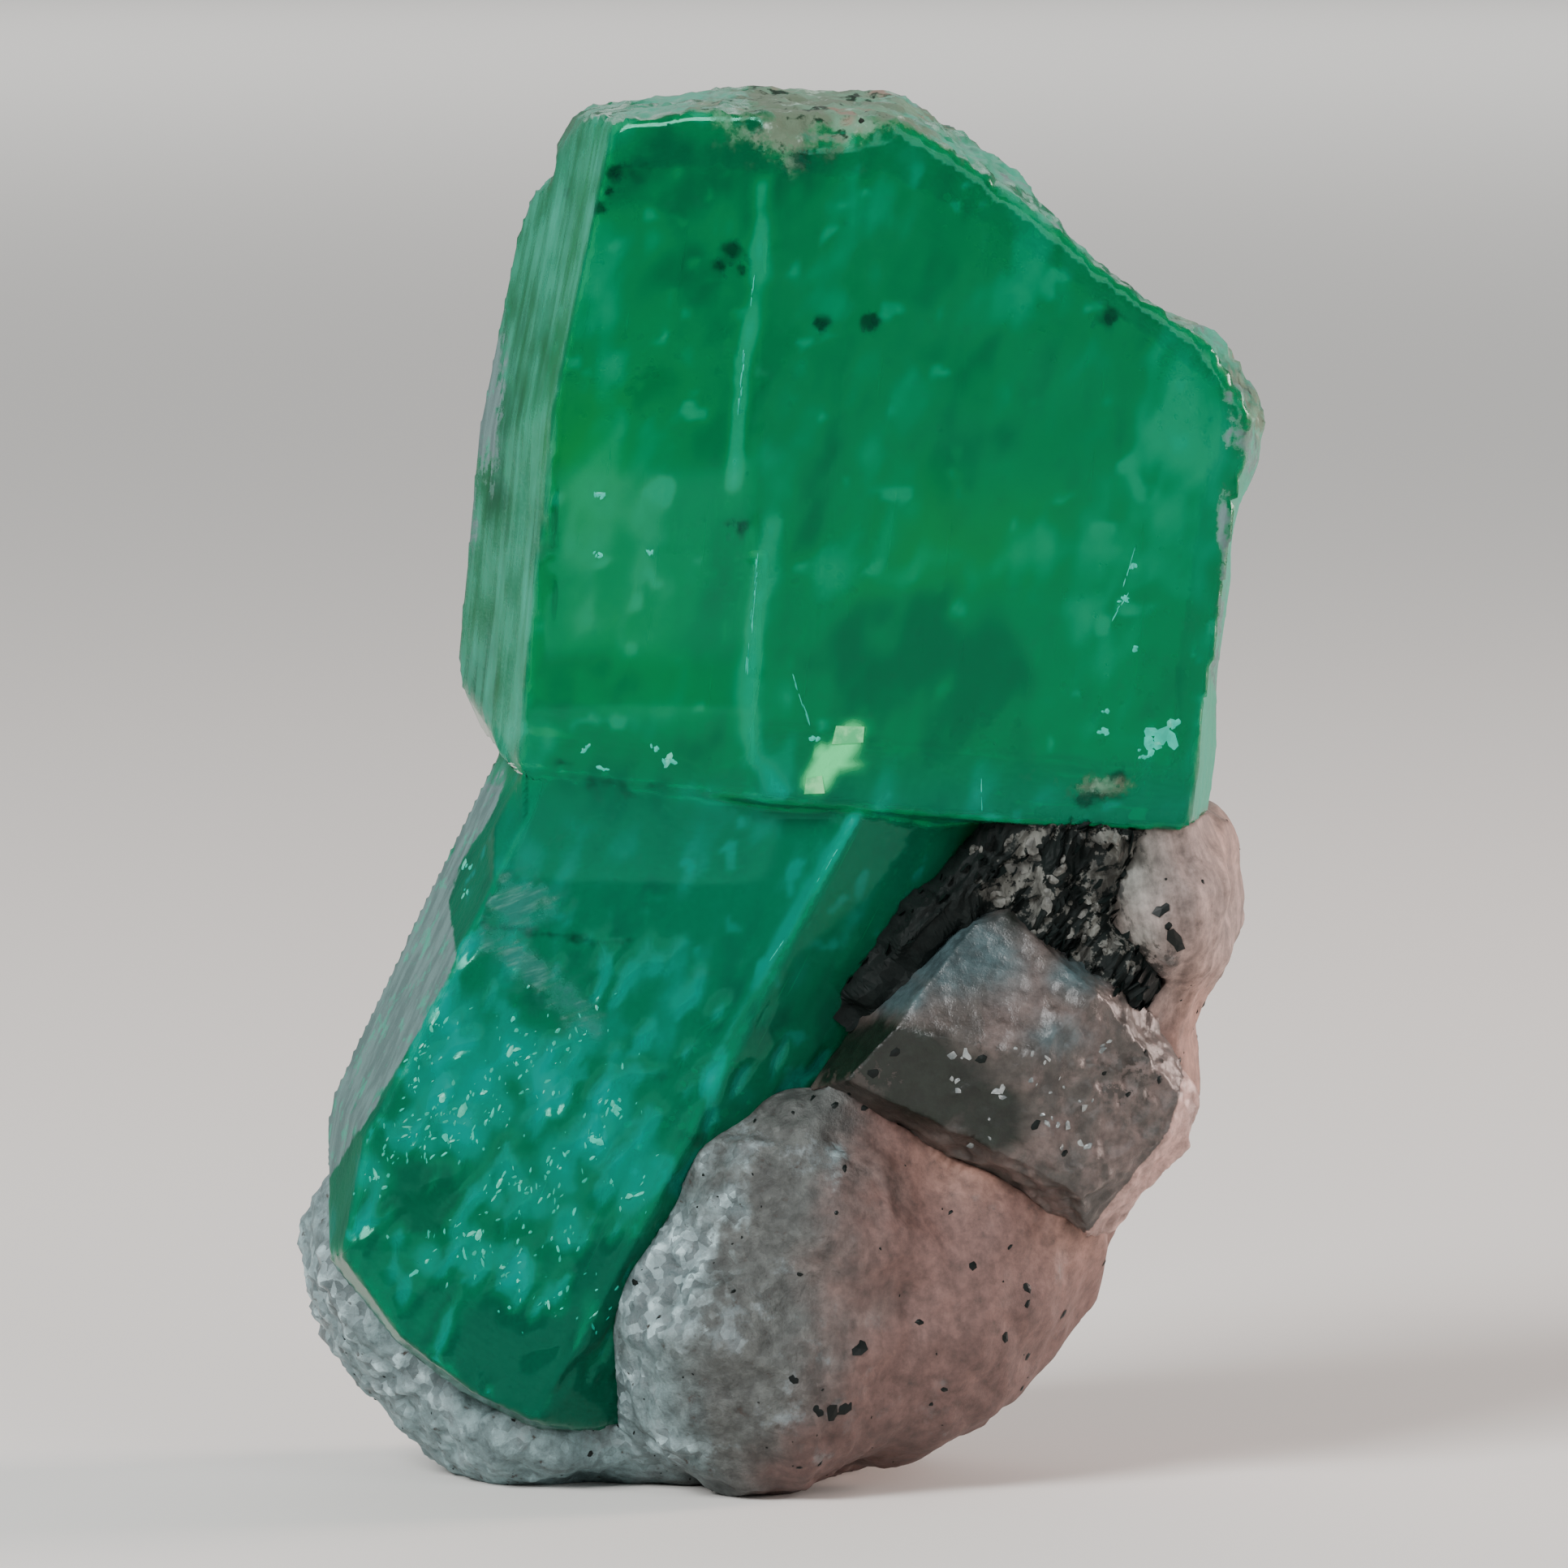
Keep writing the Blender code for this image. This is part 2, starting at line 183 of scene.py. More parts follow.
# ------------------------------------------------------------------ nodes and materials
# The kinds of node that the materials use: the output that add() gives, the settings that are
# always the same, and the sockets in the order in which add() takes their values
KINDS = {
    "Attribute": ("Fac", {}, ()),
    "BsdfPrincipled": (0, {}, ("Base Color", "Roughness")),
    "Bump": (0, {}, ("Height", "Strength", "Distance", "Normal")),
    "CombineColor": (0, {}, (0, 1, 2)),
    "Mapping": (0, {}, ("Vector", "Rotation")),
    "MapRange": (0, {"interpolation_type": "SMOOTHSTEP"}, (
        "Value", "From Min", "From Max", "To Min", "To Max")),
    "Math": (0, {}, (0, 1, 2)),
    "Mix": (2, {"data_type": "RGBA"}, (0, 6, 7)),
    "OutputMaterial": (slice(0), {}, ("Surface", "Volume")),
    "SeparateColor": (0, {}, (0,)),
    "SeparateXYZ": (slice(3), {}, (0,)),
    "TexCoord": ("Object", {}, ()),
    "TexNoise": (0, {}, ("Vector", "Scale", "Detail", "Roughness", "Distortion")),
    "TexVoronoi": ("Color", {"feature": "F1"}, ("Vector", "Scale", "Randomness")),
    "VolumeAbsorption": (0, {}, ("Color", "Density")),
}


def add(tree, kind, *values, **settings):
    """Adds a node with its settings, sets or links its sockets, and gives its output.

    The values come in the order of KINDS, or as one dictionary by the sockets' names.
    """
    output, usual, order = KINDS[kind]
    made = tree.nodes.new("ShaderNode" + kind)
    for name, value in {**usual, **settings}.items():
        setattr(made, name, value)
    by_name = values and isinstance(values[0], dict)
    for key, value in (values[0] if by_name else dict(zip(order, values))).items():
        socket = made.inputs[key]
        if isinstance(value, bpy.types.NodeSocket):
            tree.links.new(value, socket)
        else:
            socket.default_value = (*value[:3], 1.0) if socket.type == "RGBA" else value
    return made.outputs[output]


def new_material(name):
    """An empty node material, its node tree and the object coordinates."""
    material = bpy.data.materials.new(name)
    material.use_nodes = True
    material.node_tree.nodes.clear()
    return material, material.node_tree, add(material.node_tree, "TexCoord")


def over(tree, colour, *layers):
    """A colour with others laid over it in turn, each by its share from 0 to 1."""
    for share, layer in layers:
        colour = add(tree, "Mix", share, colour, layer)
    return colour


def product(tree, first, *others):
    """Several values multiplied."""
    for other in others:
        first = add(tree, "Math", first, other, operation="MULTIPLY")
    return first


def shaded(tree, colour, shade):
    """A colour made darker or lighter by a factor."""
    grey = add(tree, "CombineColor", shade, shade, shade)
    return add(tree, "Mix", 1.0, colour, grey, blend_type="MULTIPLY")


def stretched(tree, place, lean, shrink):
    """Coordinates whose patterns are drawn out along an axis that leans right by an angle."""
    turned = add(tree, "Mapping", place, (0, -math.radians(lean), 0))
    return add(tree, "Mapping", {"Vector": turned, "Scale": (1, 1, shrink)})


def broken_up(tree, name, pattern, low, high, most=1.0):
    """A mask that the mesh carries at its vertices, with its edge broken up by a pattern."""
    mask = add(tree, "Math", add(tree, "Attribute", attribute_name=name), pattern, operation="ADD")
    return add(tree, "MapRange", mask, low, high, 0.0, most)


# Tints of the emerald: the lower prism is bluer, its etched left side swallows the red, and
# what a face mirrors is greened by the crystal under it
BLUER = (1.0, 0.95, 1.34)
SIDE_TINT = (0.05, 0.42, 0.46)
MIRROR_TINT = (0.15, 0.75, 0.55)
# Dark green of the blurred smudges inside, which also paints the shade at the ledges
SMUDGE_AND_SHADE_GREEN = "#003021"            # dark blurred patches inside
SILVER = "#56857b"          # scratches that shine in the film on the lower prism
# The crust: mossy and rusty stains, dark pits and pale crumbs
CRUST_MOSS = "#5d8069"
CRUST_RUST = "#7d6a5e"
CRUST_PIT = "#1c2a20"
CRUST_CRUMB = "#8fa596"


def crust_colour(tree, place, look):
    """Weathered crust: stains of three colours, with pits and crumbs."""
    crumbs = add(tree, "TexNoise", place, per_metre(0.8), 4.0, 0.7)
    stains = add(tree, "TexNoise", place, per_metre(1.9), 2.0, 0.6)
    return over(
        tree, look.crusted,
        (add(tree, "MapRange", stains, 0.44, 0.56), linear(CRUST_MOSS)),
        (add(tree, "MapRange", stains, 0.58, 0.68), linear(CRUST_RUST)),
        (add(tree, "MapRange", crumbs, 0.46, 0.36), linear(CRUST_PIT)),
        (add(tree, "MapRange", crumbs, 0.58, 0.70), linear(CRUST_CRUMB)))


def emerald_material(look):
    # Emerald is beryl. Its prism faces grew in solution and were left as they grew: glossy,
    # with soft waves, and what lies inside shows through as blurred green zones. Side faces
    # that dissolved a little are frosted, and the broken ends carry a weathered crust.
    material, tree, place = new_material("emerald_natural_face")
    light, warmth, coolness, etched, worn, painted_chip_reflection = (
        add(tree, "Attribute", attribute_name=name)
        for name in ("light", "warmth", "coolness", "etched", "worn", "chip"))
    streak = add(
        tree, "TexNoise", stretched(tree, place, UPPER_LEAN, 0.06), per_metre(0.5), 3.0, 0.6)
    ragged = add(tree, "TexNoise", place, per_metre(0.7), 4.0, 0.65)
    ragged = add(tree, "MapRange", ragged, 0.3, 0.7, -0.28, 0.28)
    streaky = add(tree, "MapRange", streak, 0.25, 0.75, -0.15, 0.15)
    both = add(tree, "Math", ragged, streaky, operation="ADD")
    frost = broken_up(tree, "frost", streaky, 0.22, 0.95)
    white = broken_up(tree, "white", both, 0.50, 0.95)
    soot = broken_up(tree, "soot", ragged, 0.30, 0.90)
    film = broken_up(tree, "film", ragged, 0.15, 1.05, 0.9)
    crust = broken_up(tree, "crust", ragged, 0.24, 0.90)

    # The lightness mask gives the zoning and also the painted highlights, glow and shade
    colour = over(
        tree, look.deep,
        (add(tree, "MapRange", light, 0.10, 0.45), look.body),
        (add(tree, "MapRange", light, 0.45, 0.80), look.teal),
        (add(tree, "MapRange", light, 0.80, 1.40), look.cyan),
        (warmth, look.warm))
    bluer = add(tree, "Mix", 1.0, colour, BLUER, blend_type="MULTIPLY")
    # Dark smudges with painted shade, and the painted reflection of the chipped corner
    colour = over(
        tree, colour, (coolness, bluer), (product(tree, soot, 0.85), linear(SMUDGE_AND_SHADE_GREEN)),
        (painted_chip_reflection, look.painted_chip_reflection))
    side = add(tree, "Mix", 1.0, colour, SIDE_TINT, blend_type="MULTIPLY")
    # Chalky rims, which along the silhouettes also paint the sheen of a grazing reflection
    chalk_and_sheen_base = Vector(look.whitened)
    chalk_and_sheen_tones = over(
        tree, chalk_and_sheen_base * 0.78, (add(tree, "MapRange", streak, 0.38, 0.62), chalk_and_sheen_base * 1.12),
        (add(tree, "MapRange", ragged, -0.08, -0.28, 0.0, 0.6), look.frosted))
    scratches = add(
        tree, "TexNoise", stretched(tree, place, 70, 0.08), per_metre(0.22), 3.0, 0.7)
    silver = product(tree, film, add(tree, "MapRange", scratches, 0.46, 0.80))
    colour = over(
        tree, colour, (etched, side), (frost, look.frosted), (white, chalk_and_sheen_tones),
        (film, look.filmed), (silver, linear(SILVER)), (crust, crust_colour(tree, place, look)))

    # Each of these takes away a share of the gloss and of the clarity
    dull = 0.0
    for cover, share in (
            (frost, 0.7), (film, 0.7), (etched, 1.0), (worn, 0.5), (crust, 1.0), (white, 1.0),
            (painted_chip_reflection, 0.8)):
        dull = add(tree, "Math", dull, product(tree, cover, share), operation="MAXIMUM")
    bump = add(
        tree, "Bump", add(tree, "TexNoise", place, per_metre(0.25), 3.0, 0.6),
        add(tree, "MapRange", dull, 0.0, 1.0, 0.0, 0.7), 0.06 * MM)
    shader = add(tree, "BsdfPrincipled", {
        "Base Color": colour, "IOR": 1.577, "Specular IOR Level": 0.12,
        "Specular Tint": MIRROR_TINT, "Normal": bump,
        "Roughness": add(tree, "MapRange", dull, 0.0, 1.0, look.roughness, 0.62),
        "Transmission Weight": add(tree, "MapRange", dull, 0.0, 1.0, look.transmission, 0.0)})
    inside = add(tree, "VolumeAbsorption", look.absorption, look.density)
    add(tree, "OutputMaterial", shader, inside)
    return material


def feldspar_material(look):
    # Feldspar, broken and then worn: sugary bluish white grains at the left, grey and pitted
    # in the middle, and smooth pinkish tan at the right, matt with a faint waxy sheen.
    material, tree, place = new_material("feldspar_weathered")
    across, depth, height = add(tree, "SeparateXYZ", place)
    fine = add(tree, "TexNoise", place, per_metre(0.40), 6.0, 0.7)
    broad = add(tree, "TexNoise", place, per_metre(1.5), 5.0, 0.7)
    drift = add(tree, "TexNoise", place, per_metre(4.0), 4.0, 0.6)
    streak = add(
        tree, "TexNoise", stretched(tree, place, ROCK_LEAN, 0.10), per_metre(0.6), 4.0, 0.65)

    # Where the rock turns grey, pink and tan
    shifted = add(tree, "Math", drift, 6.0 * MM, across, operation="MULTIPLY_ADD")
    behind = add(tree, "MapRange", depth, 0.0, 5.0 * MM, 0.0, 0.6)
    to_grey = add(tree, "MapRange", shifted, -2.5 * MM, 1.5 * MM)
    to_grey = add(tree, "Math", to_grey, behind, operation="MAXIMUM")
    lowered = add(tree, "MapRange", height, 0.5 * MM, 4.0 * MM, 2.5 * MM, 0.0)
    to_pink = add(tree, "Math", shifted, lowered, operation="ADD")
    to_pink = add(tree, "MapRange", to_pink, 3.5 * MM, 6.5 * MM)
    to_tan = product(tree, to_pink, add(tree, "MapRange", height, 12.0 * MM, 14.5 * MM))
    grainy = add(tree, "MapRange", to_pink, 0.0, 1.0, 1.0, 0.40)
    wisps = product(
        tree, add(tree, "MapRange", broad, 0.53, 0.66),
        add(tree, "MapRange", to_pink, 0.0, 1.0, 0.7, 0.0))
    colour = over(
        tree, look.pale, (to_grey, look.grey), (to_pink, look.pink), (to_tan, look.tan),
        (add(tree, "Attribute", attribute_name="peach"), look.peach),
        (add(tree, "Attribute", attribute_name="ashen"), look.ash), (wisps, look.wisp))

    # Darker and lighter grains, streaks, and painted shade near the ground, darkest under the pink
    # side
    grain = add(tree, "TexVoronoi", place, per_metre(0.5 * look.grain), 1.0)
    facing = add(tree, "SeparateColor", grain)
    hollow = add(tree, "MapRange", grainy, 0.4, 1.0, 0.85, 0.62)
    lined = product(
        tree, add(tree, "MapRange", streak, 0.30, 0.70, -0.35, 0.35),
        add(tree, "MapRange", to_tan, 0.0, 1.0, 0.35, 1.0))
    # Painted shade near the ground, deeper on the pink side
    ground_shade = add(tree, "MapRange", to_pink, 0.0, 1.0, 0.95, 0.58)
    blocks = product(tree, add(tree, "MapRange", facing, 0.1, 0.9, -0.15, 0.15), grainy)
    shade = product(
        tree, add(tree, "MapRange", fine, 0.30, 0.70, 0.70, 1.30),
        add(tree, "MapRange", broad, 0.30, 0.55, hollow, 1.08),
        add(tree, "Math", lined, 1.0, operation="ADD"),
        add(tree, "MapRange", height, 0.0, 7.0 * MM, ground_shade, 1.0),
        add(tree, "Math", blocks, 1.0, operation="ADD"))

    # Sugary grains with painted shade in the crevices between them, pits and flecks of mica
    wander = add(tree, "MapRange", broad, 0.3, 0.7, -0.30, 0.30)
    sugar = broken_up(tree, "sugar", wander, 0.15, 0.95)
    # Painted shade in the crevices between the raised sugary grains
    crevice_shade = add(
        tree, "Math", add(tree, "Attribute", attribute_name="cell"), fine, operation="ADD")
    glow = product(
        tree, add(tree, "MapRange", facing, 0.2, 1.0, 0.45, 1.25),
        add(tree, "MapRange", crevice_shade, 0.70, 1.05, 1.0, 0.45))
    flaky = add(
        tree, "TexNoise", stretched(tree, place, ROCK_LEAN, 0.4), per_metre(0.5), 5.0, 0.7)
    flaky = add(tree, "MapRange", flaky, 0.4, 0.6, -0.5, 0.5)
    colour = over(
        tree, shaded(tree, colour, shade), (sugar, shaded(tree, look.sugar, glow)),
        (product(tree, add(tree, "MapRange", fine, 0.40, 0.31), grainy), look.stain),
        (broken_up(tree, "fleck", flaky, 0.50, 0.90, 0.8), look.mica))

    bump = add(
        tree, "Bump", fine, add(tree, "MapRange", grainy, 0.4, 1.0, 0.25, 0.9), 0.14 * MM)
    bump = add(tree, "Bump", facing, product(tree, sugar, 0.6), 0.12 * MM, bump)
    shader = add(tree, "BsdfPrincipled", {
        "Base Color": colour, "Roughness": add(tree, "MapRange", sugar, 0.0, 1.0, 0.62, 0.35),
        "IOR": 1.53, "Specular IOR Level": 0.4, "Normal": bump})
    add(tree, "OutputMaterial", shader)
    return material


def mica_material(look):
    # Biotite mica, split into leaves: black, with a glint only on a clean leaf. Grey-tan
    # feldspar is mixed into it at the right.
    material, tree, place = new_material("biotite_leaves")
    fine = add(tree, "TexNoise", place, per_metre(0.5), 4.0, 0.6)
    streak = add(
        tree, "TexNoise", stretched(tree, place, ROCK_LEAN, 0.12), per_metre(0.5), 4.0, 0.65)
    ragged = add(tree, "TexNoise", place, per_metre(1.1), 5.0, 0.7)
    ragged = add(tree, "MapRange", ragged, 0.38, 0.62, -0.5, 0.5)
    black, ash = Vector(look.mica), Vector(look.ash)
    grey = over(tree, ash * 0.25, (add(tree, "MapRange", streak, 0.36, 0.64), ash))
    colour = over(
        tree, black, (add(tree, "MapRange", fine, 0.36, 0.64), black * 1.5),
        (broken_up(tree, "feldspar", ragged, 0.50, 0.72), grey))
    shader = add(tree, "BsdfPrincipled", {
        "Base Color": colour, "Roughness": 0.65, "IOR": 1.6, "Specular IOR Level": 0.1,
        "Normal": add(tree, "Bump", fine, 0.4, 0.1 * MM)})
    add(tree, "OutputMaterial", shader)
    return material


def quartz_material(look):
    # Smoky quartz with a rough, cracked skin: greasy gloss over a cloudy grey body, cold
    # where it is clean, dark green where it is clear, and pinkish where feldspar clings to it.
    material, tree, place = new_material("quartz_cloudy")
    cloud = add(tree, "TexNoise", place, per_metre(1.6), 5.0, 0.65, 0.5)
    fine = add(tree, "TexNoise", place, per_metre(0.45), 5.0, 0.7)
    ragged = add(tree, "MapRange", cloud, 0.32, 0.68, -0.20, 0.20)
    dirt = add(tree, "MapRange", fine, 0.35, 0.65, 0.5, -0.5)
    colour = over(
        tree, look.quartz_warm, (add(tree, "MapRange", cloud, 0.42, 0.60), look.quartz_rose),
        (broken_up(tree, "cold", ragged, 0.10, 0.90), look.quartz_cold),
        (broken_up(tree, "clear", ragged, 0.20, 0.80), look.quartz_green),
        (broken_up(tree, "skin", ragged, 0.40, 0.60), look.quartz_skin))
    shade = product(
        tree, add(tree, "MapRange", fine, 0.3, 0.7, 0.65, 1.4),
        add(tree, "MapRange", cloud, 0.35, 0.65, 0.75, 1.2))
    colour = over(
        tree, shaded(tree, colour, shade),
        (broken_up(tree, "stain", dirt, 0.55, 0.75), look.stain))
    shader = add(tree, "BsdfPrincipled", {
        "Base Color": colour, "Roughness": 0.36, "IOR": 1.544, "Specular IOR Level": 0.35,
        "Transmission Weight": 0.25, "Normal": add(tree, "Bump", fine, 0.5, 0.1 * MM)})
    add(tree, "OutputMaterial", shader)
    return material


def plain_material(name, first, second, size, roughness, ior, relief, gloss):
    """Two colours mottled together over a grain in millimetres, with an even gloss."""
    material, tree, place = new_material(name)
    pattern = add(tree, "TexNoise", place, per_metre(size), 4.0, 0.6)
    shader = add(tree, "BsdfPrincipled", {
        "Base Color": over(tree, first, (add(tree, "MapRange", pattern, 0.36, 0.64), second)),
        "Roughness": roughness, "IOR": ior, "Specular IOR Level": gloss,
        "Normal": add(tree, "Bump", pattern, relief, 0.2 * size * MM)})
    add(tree, "OutputMaterial", shader)
    return material


# Finishes of small pieces: two colours, size of the grain, roughness, IOR, relief and gloss
FINISHES = {
    # Healed cracks full of fluid, which scatter the green light inside as soft sheets
    "fluid_veils": ("#0a8a66", "#2fb48c", 0.8, 0.4, 1.45, 0.0, 0.2),
    # Black shale and mica caught in the growing crystal, dull and nearly black; the same finish
    # paints the shade under the growth step
    "shale_grains": ("#0a120e", "#1c241a", 0.3, 0.5, 1.5, 0.0, 0.2),
    # Tiny etched facets painted as glints: most of them dim, as in half light, and a few that flash
    "dim_facets": ("#048a74", "#0a9c84", 0.4, 0.3, 1.5, 0.0, 0.2),
    "facet_flashes": ("#169c84", "#44b89e", 0.3, 0.3, 1.5, 0.0, 0.3),
    # Painted reflections: the air in a crack reflects nearly all the light that has passed through
    # the green, and these chips paint it
    "crack_reflections": ("#009c86", "#00b49c", 0.5, 0.35, 1.5, 0.0, 0.2),
    # Painted reflection of a crack behind a chipped corner, coloured as if lit through a yellower
    # part of the crystal
    "chip_reflection": ("#38ac6c", "#74d08c", 0.5, 0.4, 1.5, 0.0, 0.2),
    # Fresh conchoidal chips of quartz, painted lighter as they catch the light
    "quartz_chips": ("#545b5c", "#8a8f8e", 0.3, 0.25, 1.544, 0.0, 0.5),
}


def finish(name):
    """The material of a small piece, from the table of finishes."""
    first, second, *numbers = FINISHES[name]
    return plain_material(name, linear(first), linear(second), *numbers)


# ------------------------------------------------------------------ mesh helpers
def add_piece(name, mesh, material, replaced=()):
    """Puts a finished mesh in the scene as a piece that rides on the specimen."""
    piece = bpy.data.objects.new(name, mesh)
    bpy.context.scene.collection.objects.link(piece)
    mesh.materials.clear()
    mesh.materials.append(material)
    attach(piece, BODY)
    if replaced:
        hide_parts(*replaced)
    BUILT[name] = mesh


def welded(node):
    """A copy of a node's mesh with the seams of the import closed."""
    mesh = NODES[node].data.copy()
    bm = bmesh.new()
    bm.from_mesh(mesh)
    bmesh.ops.remove_doubles(bm, verts=bm.verts, dist=1e-6)
    bmesh.ops.recalc_face_normals(bm, faces=bm.faces)
    bm.to_mesh(mesh)
    bm.free()
    return mesh


LEAST_WEIGHT = 0.02         # a modifier leaves vertices below this weight alone


def applied(mesh, kind, weights=None, **settings):
    """The mesh after one modifier, limited to a vertex group if weights are given."""
    holder = bpy.data.objects.new("holder", mesh)
    bpy.context.scene.collection.objects.link(holder)
    modifier = holder.modifiers.new("step", kind)
    for name, value in settings.items():
        setattr(modifier, name, value)
    if weights is not None:
        group = holder.vertex_groups.new(name="limit")
        for index in np.nonzero(weights > LEAST_WEIGHT)[0]:
            group.add([int(index)], float(min(weights[index], 1.0)), "REPLACE")
        modifier.vertex_group = "limit"
    graph = bpy.context.evaluated_depsgraph_get()
    result = bpy.data.meshes.new_from_object(holder.evaluated_get(graph))
    bpy.data.objects.remove(holder)
    return result


def tree_of(mesh):
    """The faces of a mesh, to be searched for the nearest place or a line of sight."""
    return BVHTree.FromPolygons(
        [v.co for v in mesh.vertices], [p.vertices[:] for p in mesh.polygons])


def read_vectors(mesh, kind):
    """The places (co) or normals of the vertices of a mesh, a row for each."""
    values = np.empty(len(mesh.vertices) * 3, np.float32)
    mesh.vertices.foreach_get(kind, values)
    return values.reshape(-1, 3).astype(float)


def set_points(mesh, points):
    """Moves the vertices of a mesh and shades it smooth."""
    mesh.vertices.foreach_set("co", points.astype(np.float32).ravel())
    mesh.polygons.foreach_set("use_smooth", [True] * len(mesh.polygons))
    mesh.update()


NOISE_FADE = 0.7            # how fast the finer layers of the noise fade
NOISE_GAP = 2.1             # how many times finer each layer is than the last


def fractal(points, size, layers=3, offset=0.0):
    """Seeded noise at each point, about -1 to 1, for features of a size in millimetres."""
    scaled = points / (size * MM) + offset
    return np.array([noise.fractal(Vector(p), NOISE_FADE, NOISE_GAP, layers) for p in scaled])


def ridged(points, size, offset=0.0):
    """Sharp ridges between rounded hollows, up to 1."""
    return 1.0 - np.abs(fractal(points, size, 2, offset)) * 1.6


def grains(points, size):
    """Distance to the middle of the nearest grain, in grain sizes."""
    return np.array([noise.voronoi(Vector(p))[0][0] for p in points / (size * MM)])


def nearest(tree, points):
    """Nearest place on another surface, its normal and its distance, for each point."""
    found = [tree.find_nearest(Vector(p)) for p in points]
    places = np.array([f[0] for f in found])
    normals = np.array([f[1] for f in found])
    distances = np.array([f[3] for f in found])
    return places, normals, distances


def drawn_out(points, axis, share):
    """Points pressed together along an axis, so that noise on them is drawn out along it."""
    return points - share * (np.sum(points * axis, axis=1, keepdims=True) * axis)


def set_masks(mesh, **masks):
    """Stores values at the vertices of a mesh, which its material reads by name."""
    for name, values in masks.items():
        layer = mesh.attributes.new(name, "FLOAT", "POINT")
        layer.data.foreach_set("value", values.astype(np.float32))


def softened(mesh, values, times):
    """Averages values at the vertices with those of their neighbours, a number of times."""
    ends = np.empty(len(mesh.edges) * 2, np.int32)
    mesh.edges.foreach_get("vertices", ends)
    first, second = ends.reshape(-1, 2).T
    size = len(values)
    count = np.bincount(first, minlength=size) + np.bincount(second, minlength=size)
    for _ in range(times):
        total = np.bincount(first, values[second], size) + np.bincount(second, values[first], size)
        values = 0.5 * (values + total / np.maximum(count, 1))
    return values


def in_view(points):
    """Where the viewer in front sees each point: across and height, in millimetres."""
    height = points[:, 2] * math.cos(VIEW_HEIGHT) + points[:, 1] * math.sin(VIEW_HEIGHT)
    return points[:, 0] / MM, height / MM


FAR = 0.08      # metres in front of the specimen where a line of sight starts


def seen_at(tree, across, height):
    """The place on a surface that shows at a point of the front view, and its normal."""
    towards = Vector((0.0, math.cos(VIEW_HEIGHT), -math.sin(VIEW_HEIGHT)))
    upward = Vector((0.0, math.sin(VIEW_HEIGHT), math.cos(VIEW_HEIGHT)))
    start = Vector((across * MM, 0.0, 0.0)) + upward * (height * MM) - towards * FAR
    place, normal, _, _ = tree.ray_cast(start, towards)
    return place, normal


CORNER_STRAY = 0.28         # how far the corner of a chip strays, in steps from corner to corner
CORNER_REACH = (0.78, 1.15)     # how far out it is, as a share of the chip's half length


def chip(bm, place, normal, along, length, width, thick, rng, corners=6, lift=0.0):
    """A small flat irregular chip lying on a surface: two low cones base to base.

    Without a place, where no surface was met, it makes nothing.
    """
    if place is None:
        return
    side = normal.cross(along).normalized()
    ahead = side.cross(normal).normalized()
    centre = place + normal * (lift * MM)
    ring = []
    for corner in range(corners):
        angle = math.tau * (corner + rng.uniform(-CORNER_STRAY, CORNER_STRAY)) / corners
        reach = rng.uniform(*CORNER_REACH)
        offset = ahead * (math.cos(angle) * length) + side * (math.sin(angle) * width)
        ring.append(bm.verts.new(centre + offset * (0.5 * reach * MM)))
    top = bm.verts.new(centre + normal * (0.5 * thick * MM))
    bottom = bm.verts.new(centre - normal * (0.5 * thick * MM))
    for first, second in zip(ring, ring[1:] + ring[:1]):
        bm.faces.new((first, second, top))
        bm.faces.new((second, first, bottom))


def any_direction(rng):
    """A random direction, with none preferred."""
    return Vector((rng.gauss(0, 1), rng.gauss(0, 1), rng.gauss(0, 1))).normalized()


def tilted(direction, amount, rng):
    """A direction turned a little to a random side."""
    return (direction + amount * any_direction(rng)).normalized()


def random_place(tree, points, rng):
    """A random one of the points, brought to a surface, and the normal there."""
    place, normal, _, _ = tree.find_nearest(Vector(points[rng.randrange(len(points))]))
    return place, normal


def seen_near(tree, rng, across, height, spread, spread_up):
    """A place that shows near a point of the front view, and its normal."""
    return seen_at(tree, across + rng.gauss(0, spread), height + rng.gauss(0, spread_up))


def chip_group(bm, tree, rng, spot, count, spread, sizes, thick, tilt=0.0, corners=6):
    """Chips round a spot of the front view, given by its across, height, length and width."""
    across, height, length, width = spot
    for _ in range(count):
        place, normal = seen_near(
            tree, rng, across, height, spread[0] * length, spread[1] * width)
        if place is None:
            continue
        size = rng.uniform(*sizes)
        facing = tilted(normal, tilt, rng) if tilt else normal
        chip(bm, place, facing, any_direction(rng), length * size, width * size, thick, rng,
             corners)


def finished(bm, name):
    """Closes a bmesh into a mesh whose faces all point outwards."""
    bmesh.ops.recalc_face_normals(bm, faces=bm.faces)
    mesh = bpy.data.meshes.new(name)
    bm.to_mesh(mesh)
    bm.free()
    return mesh


def slab(bm, tree, outline, lift, depth):
    """A thin plate whose outline is given in the front view and which follows a surface."""
    found = [seen_at(tree, across, height) for across, height in outline]
    found = [(place, normal) for place, normal in found if place is not None]
    middle = sum((normal for _, normal in found), Vector()).normalized()
    upper = [bm.verts.new(place + middle * (lift * MM)) for place, _ in found]
    lower = [bm.verts.new(place - middle * (depth * MM)) for place, _ in found]
    bm.faces.new(upper)
    bm.faces.new(lower[::-1])
    count = len(found)
    for i in range(count):
        j = (i + 1) % count
        bm.faces.new((upper[i], lower[i], lower[j], upper[j]))
